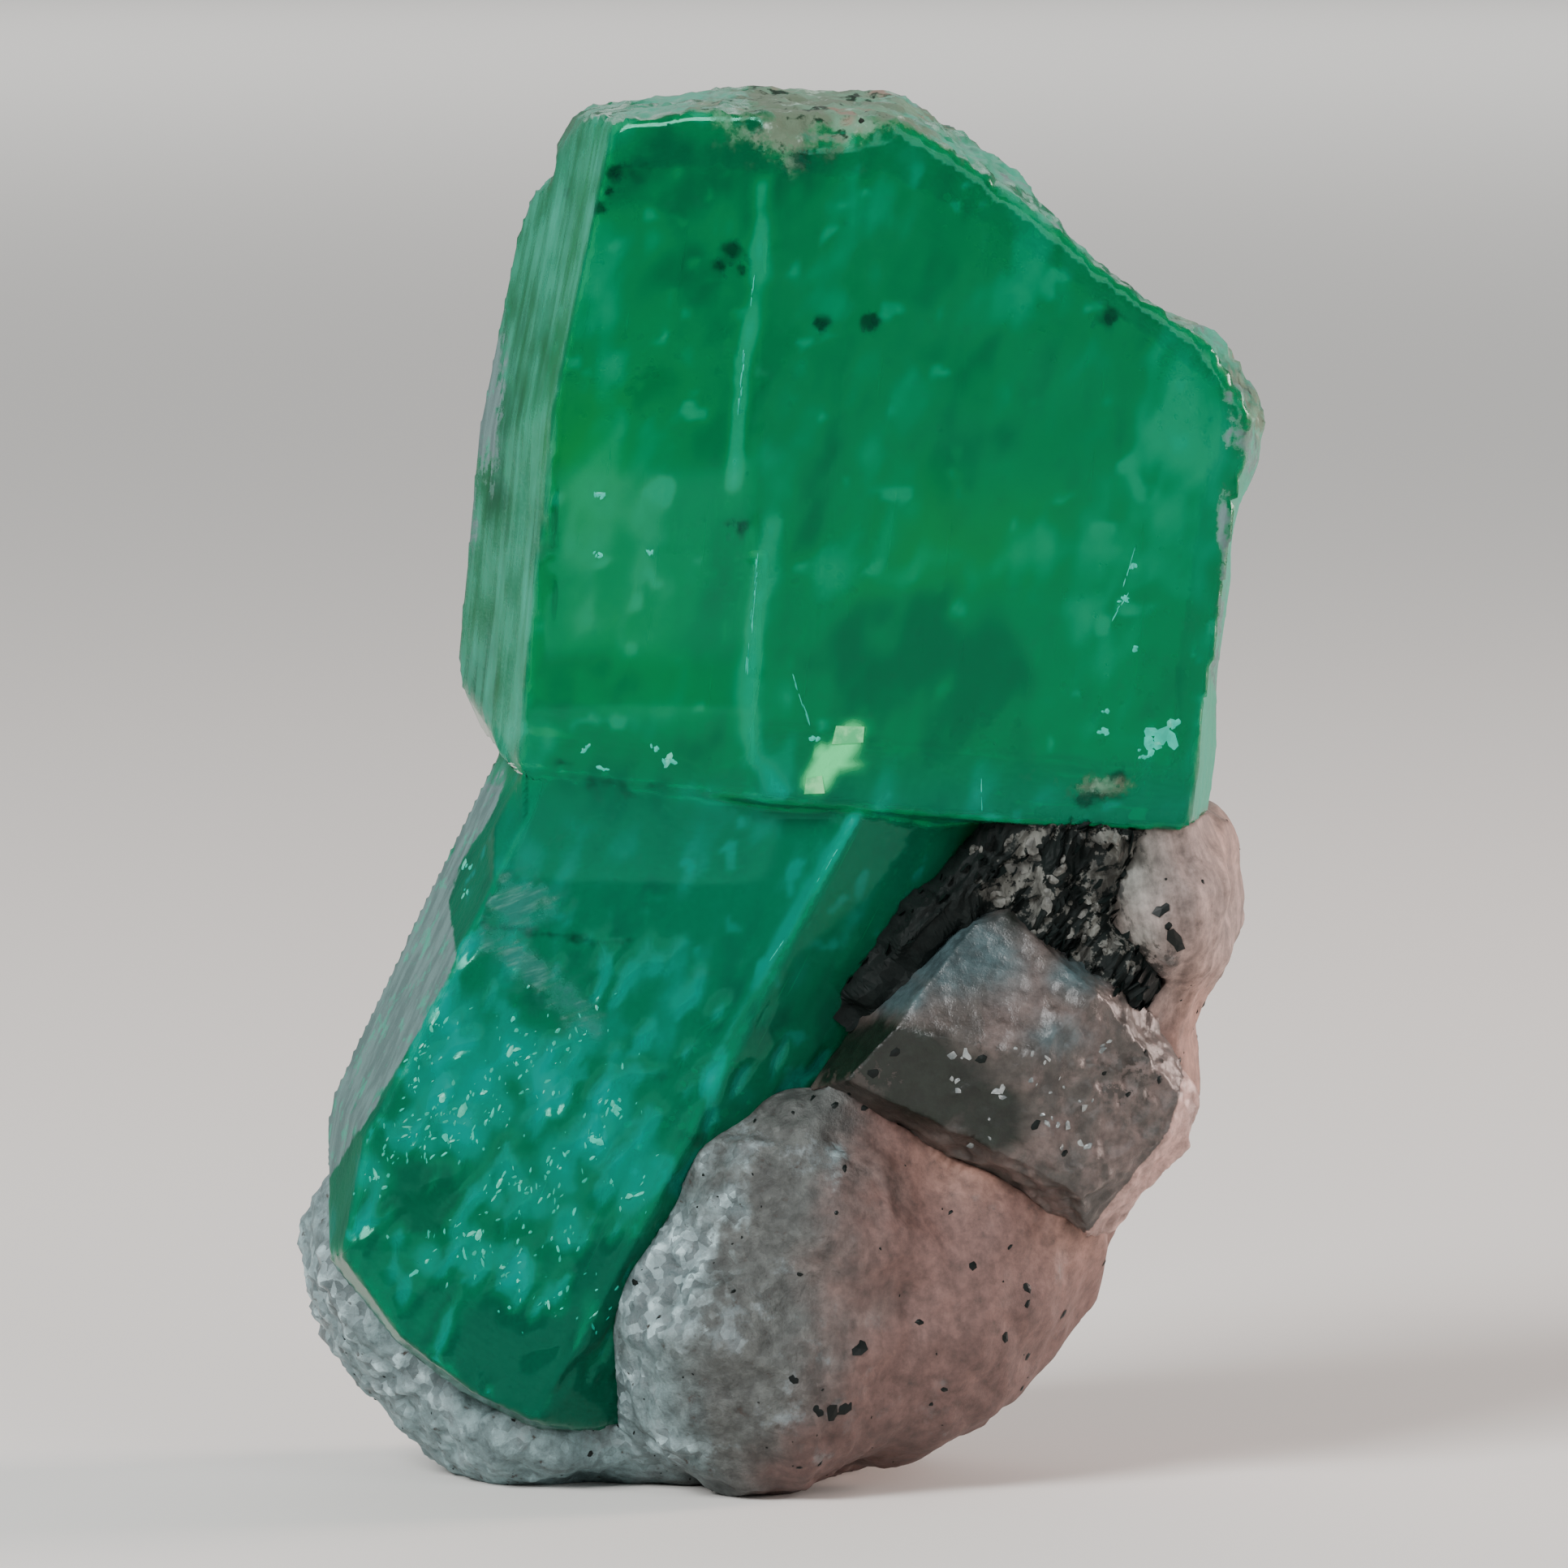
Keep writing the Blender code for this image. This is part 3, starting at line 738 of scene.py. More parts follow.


# ------------------------------------------------------------------ the emerald
# Growth zones of the crystals, seen from the front: across, height, reach across, reach in
# height, how much yellower, and how much lighter (or darker if below 0). Besides the zoning,
# the lightness paints glow round the pitted places of the lower prism and shade along the
# foot of the upper prism
ZONES = (
    (5.2, 26.9, 3.2, 1.5, 0.30, -0.02), (-5.3, 28.8, 1.0, 2.0, 0.35, 0.0),
    (-6.6, 29.4, 0.8, 1.0, 0.30, 0.05), (3.4, 25.9, 3.6, 0.6, 0.15, 0.22),
    (4.4, 23.0, 3.6, 1.4, 0.0, -0.22), (11.4, 30.5, 2.0, 3.6, 0.0, 0.30),
    (9.0, 25.5, 2.0, 2.0, 0.0, 0.10), (-3.7, 37.0, 1.7, 0.8, 0.0, -0.35),
    (-3.8, 30.3, 1.3, 0.8, 0.10, -0.25), (1.5, 34.0, 1.6, 1.8, 0.0, 0.10),
    (-4.6, 24.2, 2.0, 1.6, 0.10, 0.08), (-7.1, 22.0, 0.8, 2.6, 0.0, 0.30),
    (0.2, 20.6, 0.7, 1.4, 0.0, 0.25), (7.0, 36.0, 1.2, 1.2, 0.0, 0.15),
    (-9.2, 12.6, 0.7, 1.4, 0.0, 0.38), (-9.4, 10.8, 0.8, 0.7, 0.0, 0.25),
    (-7.0, 12.6, 1.7, 1.2, 0.0, 0.32), (-4.2, 9.9, 0.7, 2.2, 0.0, 0.45),
    (-6.2, 10.4, 1.2, 1.6, 0.0, 0.30), (-2.8, 12.2, 1.0, 2.0, 0.0, 0.15),
    (-9.6, 7.6, 1.8, 1.6, 0.10, -0.30), (1.4, 14.9, 1.2, 3.6, 0.10, -0.02),
    (-5.4, 3.2, 3.8, 2.3, 0.0, -0.80), (-2.8, 6.5, 1.6, 2.6, 0.0, -0.35),
    (0.6, 17.4, 1.0, 1.6, 0.0, 0.15), (-5.6, 19.6, 2.2, 0.8, 0.0, -0.18),
)
# Painted highlights: soft bright lines along the upright edges, where the worn edges catch the
# light. Each is a path of (across, height), its width, and how much lighter its middle is
PAINTED_EDGE_HIGHLIGHTS = (
    (((-0.45, 36.6), (-0.57, 34.5), (-0.73, 33.05), (-1.0, 31.4), (-1.15, 29.6), (-1.3, 28.2)),
     0.22, 0.80),
    (((-0.15, 27.0), (-0.45, 25.6), (-0.66, 24.1), (-0.85, 22.2), (-0.7, 20.6), (0.1, 19.6)),
     0.22, 0.80),
    (((-6.1, 37.4), (-6.6, 33.0), (-7.1, 29.0), (-7.5, 25.0), (-7.9, 21.5)), 0.24, 0.35),
    (((2.2, 18.9), (0.95, 16.95), (0.0, 15.3), (-0.75, 14.0), (-1.35, 12.9), (-2.0, 11.2)),
     0.19, 0.60),
)
# Painted glow round the pitted places of the lower prism
SPOT_GLOW = 0.55            # how much lighter the surroundings of a group of tiny facets are
BODY_LIGHT = 0.02           # lightness of the crystals where no zone reaches

# Crust that wraps over the top and right rims onto the front, and chalky etched rims, which
# along the left and right silhouettes also paint the sheen of a grazing reflection: across,
# height, reach across, reach in height, strength
CRUST_PATCHES = (
    (0.9, 39.3, 2.5, 1.5, 1.3), (0.3, 38.3, 1.3, 1.2, 1.0), (2.4, 38.6, 1.7, 0.8, 0.9),
    (11.9, 33.2, 1.0, 0.5, 0.9), (13.3, 32.0, 0.7, 1.2, 0.9), (9.0, 19.8, 1.2, 0.35, 0.5),
    (13.6, 30.4, 0.5, 1.2, 0.8),
)
WHITE_PATCHES = (
    (-8.5, 31.0, 0.80, 3.2, 1.3), (-8.9, 27.6, 0.45, 1.8, 1.0), (-7.4, 36.6, 0.5, 0.9, 0.9),
    (-6.6, 38.0, 0.4, 1.2, 0.8), (-9.1, 23.0, 0.25, 2.2, 0.55), (-5.1, 39.5, 1.4, 0.35, 1.0),
    (4.2, 39.3, 1.3, 0.7, 1.0), (5.6, 38.2, 0.9, 0.5, 0.7), (6.4, 37.0, 0.45, 0.5, 0.8),
    (7.9, 35.6, 0.6, 0.45, 0.7), (9.6, 34.4, 0.5, 0.4, 0.6), (12.3, 33.1, 1.0, 0.6, 1.2),
    (13.3, 31.2, 0.85, 1.6, 0.8), (13.3, 29.4, 0.8, 1.6, 0.8), (12.7, 25.0, 0.35, 5.0, 0.9),
    (12.75, 30.3, 0.45, 2.2, 0.75),
)

# The chipped corner low on the upper prism, whose yellow-green reflection is painted: the line
# it follows, and two spots (across, height, reach across, reach in height, strength)
GREEN_CHIP = ((1.05, 19.9), (1.3, 20.3), (1.95, 20.9), (2.05, 21.2))
GREEN_CHIP_WIDTH = 0.55
CHIP_LIGHTS = ((1.9, 21.0, 0.6, 0.5, 1.0), (1.05, 19.9, 0.6, 0.42, 1.0))

# Where the frosted band down the left of the lower prism ends: height, and how far across
BAND_EDGE = (
    (7.36, -13.65), (8.18, -13.06), (9.23, -12.36), (10.63, -11.43), (12.26, -10.50),
    (13.67, -9.68), (14.83, -9.09), (15.53, -9.21), (16.47, -9.44), (17.64, -8.98),
    (18.57, -8.39), (19.86, -7.75), (21.0, -7.6), (22.0, -20.0),
)

# Soft dark patches: smudges inside the crystals, and painted shade along the foot of the upper
# prism and under the growth step. Across, height, reach across, reach in height, strength
DARK_SMUDGES_AND_SHADE = (
    (-6.1, 20.2, 0.7, 0.25, 0.55), (-4.8, 19.5, 0.9, 0.35, 0.6), (-3.4, 19.9, 0.8, 0.2, 0.4),
    (-1.0, 27.2, 1.5, 0.25, 0.45), (-4.2, 37.0, 1.2, 0.4, 0.4), (0.6, 37.3, 1.0, 0.5, 0.5),
    (9.2, 19.7, 1.0, 0.35, 0.5), (2.2, 20.3, 0.5, 0.8, 0.35), (-3.1, 11.4, 0.9, 0.5, 0.35),
    (-2.3, 10.4, 1.3, 0.6, 0.35), (-9.4, 13.3, 0.4, 0.6, 0.3),
)
DARK_LINE = ((-8.4, 15.8), (-6.4, 15.45), (-4.2, 15.3))     # a crack under the silvery film
# The film on the lower prism: a round spot and a leaf that hangs from it
FILM_SPOT = (-7.5, 16.5, 1.25, 0.85, 1.0)
FILM_LEAF = ((-8.1, 15.3), (-6.6, 14.1), (-5.5, 13.0))

# Dark grains in the upper prism and on its lower rim: across, height, size. The two at the
# growth step paint the shade under it
DARK_GRAINS_AND_STEP_SHADE = (
    (-1.27, 34.69, 0.42), (-1.62, 34.34, 0.30), (-1.03, 34.22, 0.26), (1.18, 32.70, 0.34),
    (2.59, 32.82, 0.36), (-1.03, 26.98, 0.34), (-1.39, 27.10, 0.24), (-4.66, 37.03, 0.32),
    (-5.01, 35.97, 0.28), (9.41, 33.05, 0.46), (-4.77, 36.44, 0.22), (-6.06, 36.56, 0.24),
    (0.60, 37.38, 0.50), (2.35, 38.54, 0.45), (-0.45, 38.20, 0.30), (9.01, 19.62, 0.45),
    (9.59, 19.97, 0.35), (8.66, 19.27, 0.35),
)
# Pitted places on the lower prism, where tiny facets catch the light
SPARKLE_SPOTS = (
    (-9.68, 13.08), (-10.03, 12.38), (-10.26, 11.33), (-10.50, 10.16), (-9.68, 10.86),
    (-8.86, 10.51), (-8.63, 9.81), (-7.46, 12.26), (-7.11, 12.03), (-10.73, 9.69),
    (-10.03, 9.58), (-8.04, 8.06), (-7.46, 8.41), (-8.74, 7.01), (-8.39, 6.42),
    (-5.94, 7.01), (-7.23, 5.96), (-7.69, 6.19), (-11.43, 8.76), (-6.87, 7.94),
    (-4.66, 10.63), (-5.12, 9.69), (-9.2, 9.9), (-8.3, 11.2), (-6.2, 8.9), (-9.9, 6.4),
    (-5.2, 4.6), (-6.4, 5.2), (-4.1, 8.2), (-7.9, 10.6), (-6.6, 11.2), (-5.6, 12.6),
)

RIGHT_HOLLOW = 0.32         # how far the right side of the upper prism is cut back
FROST_SIDE = 0.75           # how frosted the etched side faces are, 0 to 1
CRUST_RELIEF = 0.16         # height of the crust on the broken ends
GROWTH_LINES = 0.002        # height of the fine lines along the prisms
PIT_DEPTH = 0.22            # of the etched pits on the lower prism
FILM_RELIEF = 0.04
# Ledges on the front that fade out: lower and upper height, and the stretch they fade over
LOWER_LEDGE = (17.4, 22.6, (0.5, -2.5))
GROWTH_STEP = (23.6, 30.2, (1.2, -0.2))
LEDGE_HEIGHT = 19.9         # of the lower ledge at the middle, from where it falls to the right
LEDGE_FALL = 0.11
STEP_HEIGHT = 26.9          # of the growth step
CAP_LOWEST = 28.6           # height above which a face across the prism is a broken end

# Blurred lighter zones inside the crystals: width in mm, lean to the right in degrees of the
# axis they are drawn out along, how much they shrink along it, and how much they lighten
SOFT_ZONES = (
    (5.0, 0.0, 1.0, 0.22), (2.2, 0.0, 1.0, 0.20), (1.3, 7.0, 0.16, 0.20), (1.1, 34.0, 0.22, 0.16),
)
SOFT_SPOTS = (0.9, 0.30)    # width of small pale spots, and how much they lighten


def soft_zones(points):
    """How much the blurred zones inside the crystals lighten each point."""
    total = np.zeros(len(points))
    for number, (size, lean, shrink, reach) in enumerate(SOFT_ZONES):
        pattern = fractal(
            drawn_out(points, np.array(leaning(lean)), 1.0 - shrink), size, 3,
            50.0 + 3.0 * number)
        total += reach * smooth(-0.60, 0.60, pattern)
    size, reach = SOFT_SPOTS
    return total + reach * smooth(0.45, 0.75, fractal(points, size, 2, 67.0))


def patches(places, across, height):
    """How strongly each point is covered by soft patches of the front view."""
    total = np.zeros(len(across))
    for mid_x, mid_z, reach_x, reach_z, strength in places:
        spread = ((across - mid_x) / reach_x) ** 2 + ((height - mid_z) / reach_z) ** 2
        total = np.maximum(total, strength * np.exp(-spread))
    return total


def line_glow(path, width, across, height):
    """A soft line through points of the front view."""
    best = np.full(len(across), np.inf)
    for (x0, z0), (x1, z1) in zip(path, path[1:]):
        span_x, span_z = x1 - x0, z1 - z0
        share = ((across - x0) * span_x + (height - z0) * span_z) / (span_x ** 2 + span_z ** 2)
        share = np.clip(share, 0.0, 1.0)
        away = np.hypot(across - x0 - share * span_x, height - z0 - share * span_z)
        best = np.minimum(best, away)
    return np.exp(-(best / width) ** 2)


SLOPE_STEP = 0.4            # over which the slope of a face beside a ledge is measured


def merged(points, flat, tree, low, high, fade):
    """Runs the front of a prism evenly from one height to another, left of a soft limit.

    The run keeps the slopes of the faces above and below, so that neither end shows.
    """
    x, y, z = points.T / MM
    facing = (flat[:, 1] < -0.5) | ((np.abs(flat[:, 2]) > 0.4) & (y < -4.0))
    weight = smooth(*fade, x) * facing * (z > low) * (z < high)
    result = points.copy()
    for index in np.nonzero(weight > 0.0)[0]:
        across = points[index, 0]
        ends = [tree.ray_cast(Vector((across, -FAR, height * MM)), Vector((0.0, 1.0, 0.0)))[0]
                for height in (low - SLOPE_STEP, low, high, high + SLOPE_STEP)]
        if None in ends:
            continue
        below, first, last, above = (end.y for end in ends)
        share = (z[index] - low) / (high - low)
        run = share * (1.0 - share) * (high - low) / SLOPE_STEP
        depth = first + (last - first) * share ** 2 * (3.0 - 2.0 * share)
        depth += run * ((1.0 - share) * (first - below) - share * (above - last))
        result[index, 1] += (depth - result[index, 1]) * weight[index]
    return result


def worn_prisms():
    """The two prisms, remeshed finely, with worn edges and with the ledges faded out.

    Given with the normal of the flat face at each vertex, and how sharp the edge there was.
    """
    solid = welded("emerald")
    faces = tree_of(solid)
    mesh = applied(solid, "REMESH", mode="SHARP", octree_depth=8, scale=0.85, sharpness=1.0)
    places, flat, _ = nearest(faces, read_vectors(mesh, "co"))
    sharp = smooth(0.01, 0.05, 1.0 - np.sum(flat * read_vectors(mesh, "normal"), axis=1))
    set_points(mesh, places)
    x, y, z = places.T / MM
    worn = sharp * (0.8 + 0.3 * fractal(places, 2.0, 2, 31.0))
    mesh = applied(mesh, "SMOOTH", worn, factor=0.8, iterations=12)
    points = read_vectors(mesh, "co")
    for ledge in (LOWER_LEDGE, GROWTH_STEP):
        points = merged(points, flat, faces, *ledge)
    set_points(mesh, points)
    level = sharp < 0.5
    away = np.abs(z - LEDGE_HEIGHT + LEDGE_FALL * x)
    ledge = np.maximum(smooth(3.2, 1.6, away), smooth(4.8, 2.6, away) * level)
    ledge *= smooth(*LOWER_LEDGE[2], x) * (y < 0)
    step = smooth(3.6, 2.0, np.abs(z - STEP_HEIGHT)) * smooth(0.8, -0.4, x) * (y < 0) * level
    mesh = applied(mesh, "SMOOTH", ledge, factor=0.9, iterations=60)
    mesh = applied(mesh, "SMOOTH", 0.8 * step, factor=0.9, iterations=40)
    return mesh, flat, sharp


def emerald_mesh(look):
    """The worn prisms with waves, growth lines, etched sides, broken ends and all masks."""
    mesh, flat, sharp = worn_prisms()
    points = read_vectors(mesh, "co")
    x, y, z = points.T / MM
    across, height = in_view(points)
    front = flat[:, 1] < 0.3
    facing = flat[:, 1] < -0.4

    # The sides, the broken top and the frosted band of each prism
    lower = smooth(LOWER_TOP + 1.2, LOWER_TOP - 1.2, z)
    axis = np.where((z < LOWER_TOP)[:, None], np.array(LOWER_AXIS), np.array(UPPER_AXIS))
    sideways = np.sum(flat * np.cross(np.array((0.0, 1.0, 0.0)), axis), axis=1)
    left_side = smooth(-0.70, -0.86, sideways)
    right_side = smooth(0.80, 0.92, sideways)
    top = smooth(0.35, 0.62, np.abs(np.sum(flat * axis, axis=1))) * (z > CAP_LOWEST)
    band_edge = np.interp(height, *zip(*BAND_EDGE))
    band = np.where(front, smooth(band_edge + 0.14, band_edge - 0.14, across), left_side)
    band = np.maximum(band, left_side * (1.0 - lower))
    blotch = fractal(points, 1.6, 3, 17.0)
    strayed = x + 2.2 * fractal(points, 3.5, 3, 71.0)
    crusted = top * (0.7 + 0.5 * blotch) * smooth(-3.6, -1.0, strayed) * smooth(5.8, 3.2, strayed)
    crust = np.maximum(crusted, front * patches(CRUST_PATCHES, across, height))

    # Relief: waves, growth lines, the hollow right side, the crust, pits and the film
    lines = fractal(drawn_out(points, axis, 0.96), 0.8, 1, 7.0)
    rough = ridged(points, 1.3, 5.0) + 0.6 * fractal(points, 0.5, 3, 9.0)
    relief = look.wave * fractal(points, 4.6, 2)
    relief += GROWTH_LINES * lines * (1.0 + 3.0 * (left_side + right_side))
    relief -= RIGHT_HOLLOW * right_side * smooth(29.5, 27.8, z) * smooth(20.5, 23.5, z)
    covered = smooth(0.3, 0.8, np.maximum(crust, top))
    relief = relief * (1.0 - covered) + covered * CRUST_RELIEF * (rough - 0.6)
    hollows = np.clip(fractal(drawn_out(points, axis, 0.6), 0.7, 2, 21.0) - 0.08, 0.0, 1.0)
    pitted = smooth(15.0, 12.5, height + 0.35 * across) * facing * lower
    relief -= PIT_DEPTH * hollows * pitted
    filmed = facing * np.maximum(
        patches((FILM_SPOT,), across, height),
        1.1 * line_glow(FILM_LEAF, 0.6, across, height))
    relief += FILM_RELIEF * filmed * (blotch - 0.3)
    set_points(mesh, points + flat * (relief * MM)[:, None])

    # Lightness of the body and how yellow it is. Besides the zoning it carries painted
    # highlights, glow and glints, and painted shade where zones darken it
    warmth = np.zeros(len(points))
    light = BODY_LIGHT + soft_zones(points)
    drift_x = across + 0.9 * fractal(points, 3.0, 2, 41.0)
    drift_z = height + 0.9 * fractal(points, 3.0, 2, 47.0)
    for mid_x, mid_z, reach_x, reach_z, yellow, lighter in ZONES:
        share = np.exp(-((drift_x - mid_x) / reach_x) ** 2 - ((drift_z - mid_z) / reach_z) ** 2)
        warmth += yellow * share * front
        light += lighter * share * front
    # Painted highlights along the upright edges
    for path, width, glow in PAINTED_EDGE_HIGHLIGHTS:
        light += glow * line_glow(path, width, across, height) * front * (0.75 + 0.4 * blotch)
    # Painted glow round the pitted places, and painted glints in their hollows
    glow_spots = [(mid_x, mid_z, 0.5, 0.7, SPOT_GLOW) for mid_x, mid_z in SPARKLE_SPOTS]
    light += front * patches(glow_spots, across, height)
    light += pitted * (1.2 * hollows + 0.12 * blotch)

    # What lies on the faces, the dark smudges under them, and painted shade at the ledges
    # Chalky rims, and painted sheen along the silhouettes
    white = np.maximum(front * patches(WHITE_PATCHES, across, height), top * (0.28 + 0.5 * blotch))
    white = np.maximum(white, band * lower * smooth(3.0, -2.0, y) * (1.2 + 0.3 * blotch))
    frost = FROST_SIDE * band * (0.75 + 0.3 * blotch) + 0.8 * right_side
    frost += top * (0.7 + 0.4 * blotch)
    on_step = smooth(1.0, 0.6, np.abs(z - STEP_HEIGHT)) * smooth(-0.7, -1.1, x) * (y < 0)
    spots = [(mid_x, mid_z, 0.9 * size, 0.8 * size, 1.0) for mid_x, mid_z, size in DARK_GRAINS_AND_STEP_SHADE]
    soot = np.maximum(patches(spots, across, height), patches(DARK_SMUDGES_AND_SHADE, drift_x, drift_z))
    soot = np.maximum(soot, 0.6 * line_glow(DARK_LINE, 0.22, across, height))
    # The painted yellow-green reflection of the chipped corner
    chip_light = np.maximum(
        patches(CHIP_LIGHTS, drift_x, drift_z),
        0.9 * line_glow(GREEN_CHIP, GREEN_CHIP_WIDTH, across, height))
    set_masks(
        mesh, warmth=np.clip(warmth, 0, 1), light=light, coolness=lower, white=white,
        frost=softened(mesh, np.clip(frost, 0, 1), 3),
        worn=softened(mesh, sharp, 2) * (1.0 - on_step),
        etched=softened(mesh, left_side * lower, 8), soot=front * soot,
        chip=front * smooth(0.25, 0.8, chip_light + 0.2 * blotch),
        crust=np.clip(crust, 0, 1), film=0.9 * filmed + 0.4 * filmed * blotch)
    return mesh


class SPECIMEN_OT_emerald(bpy.types.Operator):
    """Builds the two intergrown emerald prisms"""
    bl_idname = "specimen.emerald"
    bl_label = "Emerald crystals"

    def execute(self, context):
        look = context.scene.emerald_look
        mesh = emerald_mesh(look)
        add_piece("emerald_crystals", mesh, emerald_material(look), ("emerald",))
        return {"FINISHED"}


# ------------------------------------------------------------------ inside and on the emerald
FLAKES_PER_VEIL = 50
VEIL_DEPTH = (0.25, 1.6)
VEIL_REACH = (0.9, 2.8)
VEIL_BEND = 0.12            # at most, at 1 mm from its middle
FLAKE_SIZE = (0.06, 0.34)
FLAKE_DEPTH = 0.12          # no flake lies nearer to a face than this
NEEDLES = 170
NEEDLE_DEPTH = (0.15, 0.7)
NEEDLE_LENGTH = (0.7, 2.6)
NEEDLE_WIDTH = 0.035


def add_veils(bm, tree, points, rng, count):
    """Healed fractures: curved sheets of tiny flakes inside the crystals."""
    for _ in range(count // FLAKES_PER_VEIL):
        place, normal = random_place(tree, points, rng)
        middle = place - normal * (rng.uniform(*VEIL_DEPTH) * MM)
        facing = tilted(normal, 0.9, rng)
        first = facing.orthogonal().normalized()
        second = facing.cross(first)
        reach = rng.uniform(*VEIL_REACH)
        bend = rng.uniform(-VEIL_BEND, VEIL_BEND)
        for _ in range(FLAKES_PER_VEIL):
            angle = rng.uniform(0, math.tau)
            radius = reach * math.sqrt(rng.random())
            spot = middle + (first * math.cos(angle) + second * math.sin(angle)) * (radius * MM)
            spot += facing * ((bend * radius ** 2 + rng.gauss(0, 0.05)) * MM)
            near, out, _, _ = tree.find_nearest(spot)
            if (near - spot).dot(out) < FLAKE_DEPTH * MM:
                continue
            lying = tilted(facing, 0.35, rng)
            size = rng.uniform(*FLAKE_SIZE)
            chip(bm, spot, lying, any_direction(rng), size, size * rng.uniform(0.5, 0.9), 0.02,
                 rng, corners=5)


def add_needles(bm, tree, points, rng):
    """Growth tubes: hair-thin needles along the length of each prism, just inside its faces."""
    for _ in range(NEEDLES):
        place, normal = random_place(tree, points, rng)
        axis = LOWER_AXIS if place.z < LOWER_TOP * MM else UPPER_AXIS
        if abs(normal.dot(axis)) > 0.3:
            continue
        spot = place - normal * (rng.uniform(*NEEDLE_DEPTH) * MM)
        length = rng.uniform(*NEEDLE_LENGTH)
        ends = [spot + axis * (side * 0.6 * length * MM) for side in (-1, 1)]
        found = [tree.find_nearest(end) for end in ends]
        if any((near - end).dot(out) < 0.1 * MM
               for end, (near, out, _, _) in zip(ends, found)):
            continue
        chip(bm, spot, normal, axis, length, NEEDLE_WIDTH, 0.03, rng, corners=4)


class SPECIMEN_OT_veils(bpy.types.Operator):
    """Builds the healed fractures and growth needles inside the emerald"""
    bl_idname = "specimen.veils"
    bl_label = "Veils and needles"

    def execute(self, context):
        rng = random.Random(SEEDS["veils"])
        mesh = BUILT["emerald_crystals"]
        tree = tree_of(mesh)
        points = read_vectors(mesh, "co")
        bm = bmesh.new()
        add_veils(bm, tree, points, rng, context.scene.emerald_look.flakes)
        add_needles(bm, tree, points, rng)
        mesh = finished(bm, "healed_fractures")
        add_piece("healed_fractures", mesh, finish("fluid_veils"))
        return {"FINISHED"}


GRAINS_PER_SPOT = 4
GRAINS_ELSEWHERE = 60
GRAIN_LIFT = -0.06          # the grains lie this far under the face


class SPECIMEN_OT_inclusions(bpy.types.Operator):
    """Builds the dark mineral grains that the emerald grew around, and dark chips that paint the
    shade under the growth step
    """
    bl_idname = "specimen.inclusions"
    bl_label = "Dark inclusions"

    def execute(self, context):
        rng = random.Random(SEEDS["inclusions"])
        mesh = BUILT["emerald_crystals"]
        tree = tree_of(mesh)
        points = read_vectors(mesh, "co")
        bm = bmesh.new()
        # Dark chips round each grain; at the growth step they paint its shade
        for across, height, size in DARK_GRAINS_AND_STEP_SHADE:
            for _ in range(GRAINS_PER_SPOT):
                place, normal = seen_near(tree, rng, across, height, 0.45 * size, 0.45 * size)
                grain = size * rng.uniform(0.4, 1.0)
                if place is not None:
                    chip(bm, place, normal, any_direction(rng), grain, grain * 0.6, 0.10, rng,
                         lift=GRAIN_LIFT)
        for _ in range(GRAINS_ELSEWHERE):
            place, normal = random_place(tree, points, rng)
            grain = rng.uniform(0.06, 0.22)
            chip(bm, place, normal, any_direction(rng), grain, grain * 0.7, 0.08, rng,
                 lift=GRAIN_LIFT)
        mesh = finished(bm, "dark_inclusions_and_shade")
        add_piece("dark_inclusions_and_shade", mesh, finish("shale_grains"))
        return {"FINISHED"}


CRACK_PIECE = 0.16          # a bright crack is made of pieces, one to each stretch of this length
CRACK_GAPS = 0.25           # share of the pieces that are left out
CRACK_WIDTH = 0.03
# Painted reflections of short bright cracks and of the worn prism edge: across and height of both
# ends
BRIGHT_CRACKS = (
    (10.06, 26.28, 9.80, 25.40), (9.85, 25.10, 9.45, 24.40), (5.74, 19.97, 5.74, 19.04),
    (0.37, 22.90, 0.95, 21.30), (1.70, 18.00, 1.10, 17.00), (0.10, 15.30, -0.30, 14.70),
    (-0.95, 31.90, -1.12, 30.30), (-0.55, 26.30, -0.80, 23.90), (-0.85, 23.6, -0.90, 22.6),
    (-0.70, 34.0, -0.76, 33.3),
)
# Bright facets that paint the yellow-green reflection in the chipped corner
CHIP_FACETS = (
    ((1.50, 20.90), (1.62, 21.42), (2.42, 21.40), (2.38, 20.95)),
    ((0.72, 19.50), (0.78, 19.95), (1.22, 20.02), (1.30, 19.52)),
)
# Painted cyan reflections from cracks just under the faces: across, height, length, width
CYAN_SPOTS = (
    (10.76, 21.20, 0.75, 0.45), (10.62, 20.75, 0.45, 0.40), (11.16, 21.49, 0.35, 0.30),
    (10.29, 20.67, 0.30, 0.25), (9.24, 21.26, 0.30, 0.22), (9.36, 21.84, 0.22, 0.18),
    (10.13, 23.59, 0.20, 0.14), (9.71, 25.00, 0.35, 0.16), (10.01, 25.93, 0.20, 0.14),
    (-5.01, 27.92, 0.30, 0.14), (-3.60, 26.33, 0.26, 0.12), (-5.01, 26.23, 0.24, 0.12),
    (0.95, 21.09, 0.22, 0.18), (-3.14, 20.44, 0.35, 0.16), (-3.49, 20.79, 0.28, 0.14),
    (-5.01, 20.21, 0.26, 0.14), (-5.36, 20.79, 0.28, 0.14), (-8.91, 17.45, 0.25, 0.20),
    (-8.91, 16.70, 0.18, 0.15), (-4.60, 10.60, 0.40, 0.22), (-5.10, 9.70, 0.35, 0.20),
)
# The tiny facets of one pitted place, painted as glints: a flash in the middle, a few bright ones
# and dim ones round them. The first two are large
FACET_KINDS = ("bright_facets",) + ("bright_glints",) * 3 + ("dim_facets",) * 9
LARGE_FACET = (0.16, 0.40)
SMALL_FACET = (0.06, 0.28)
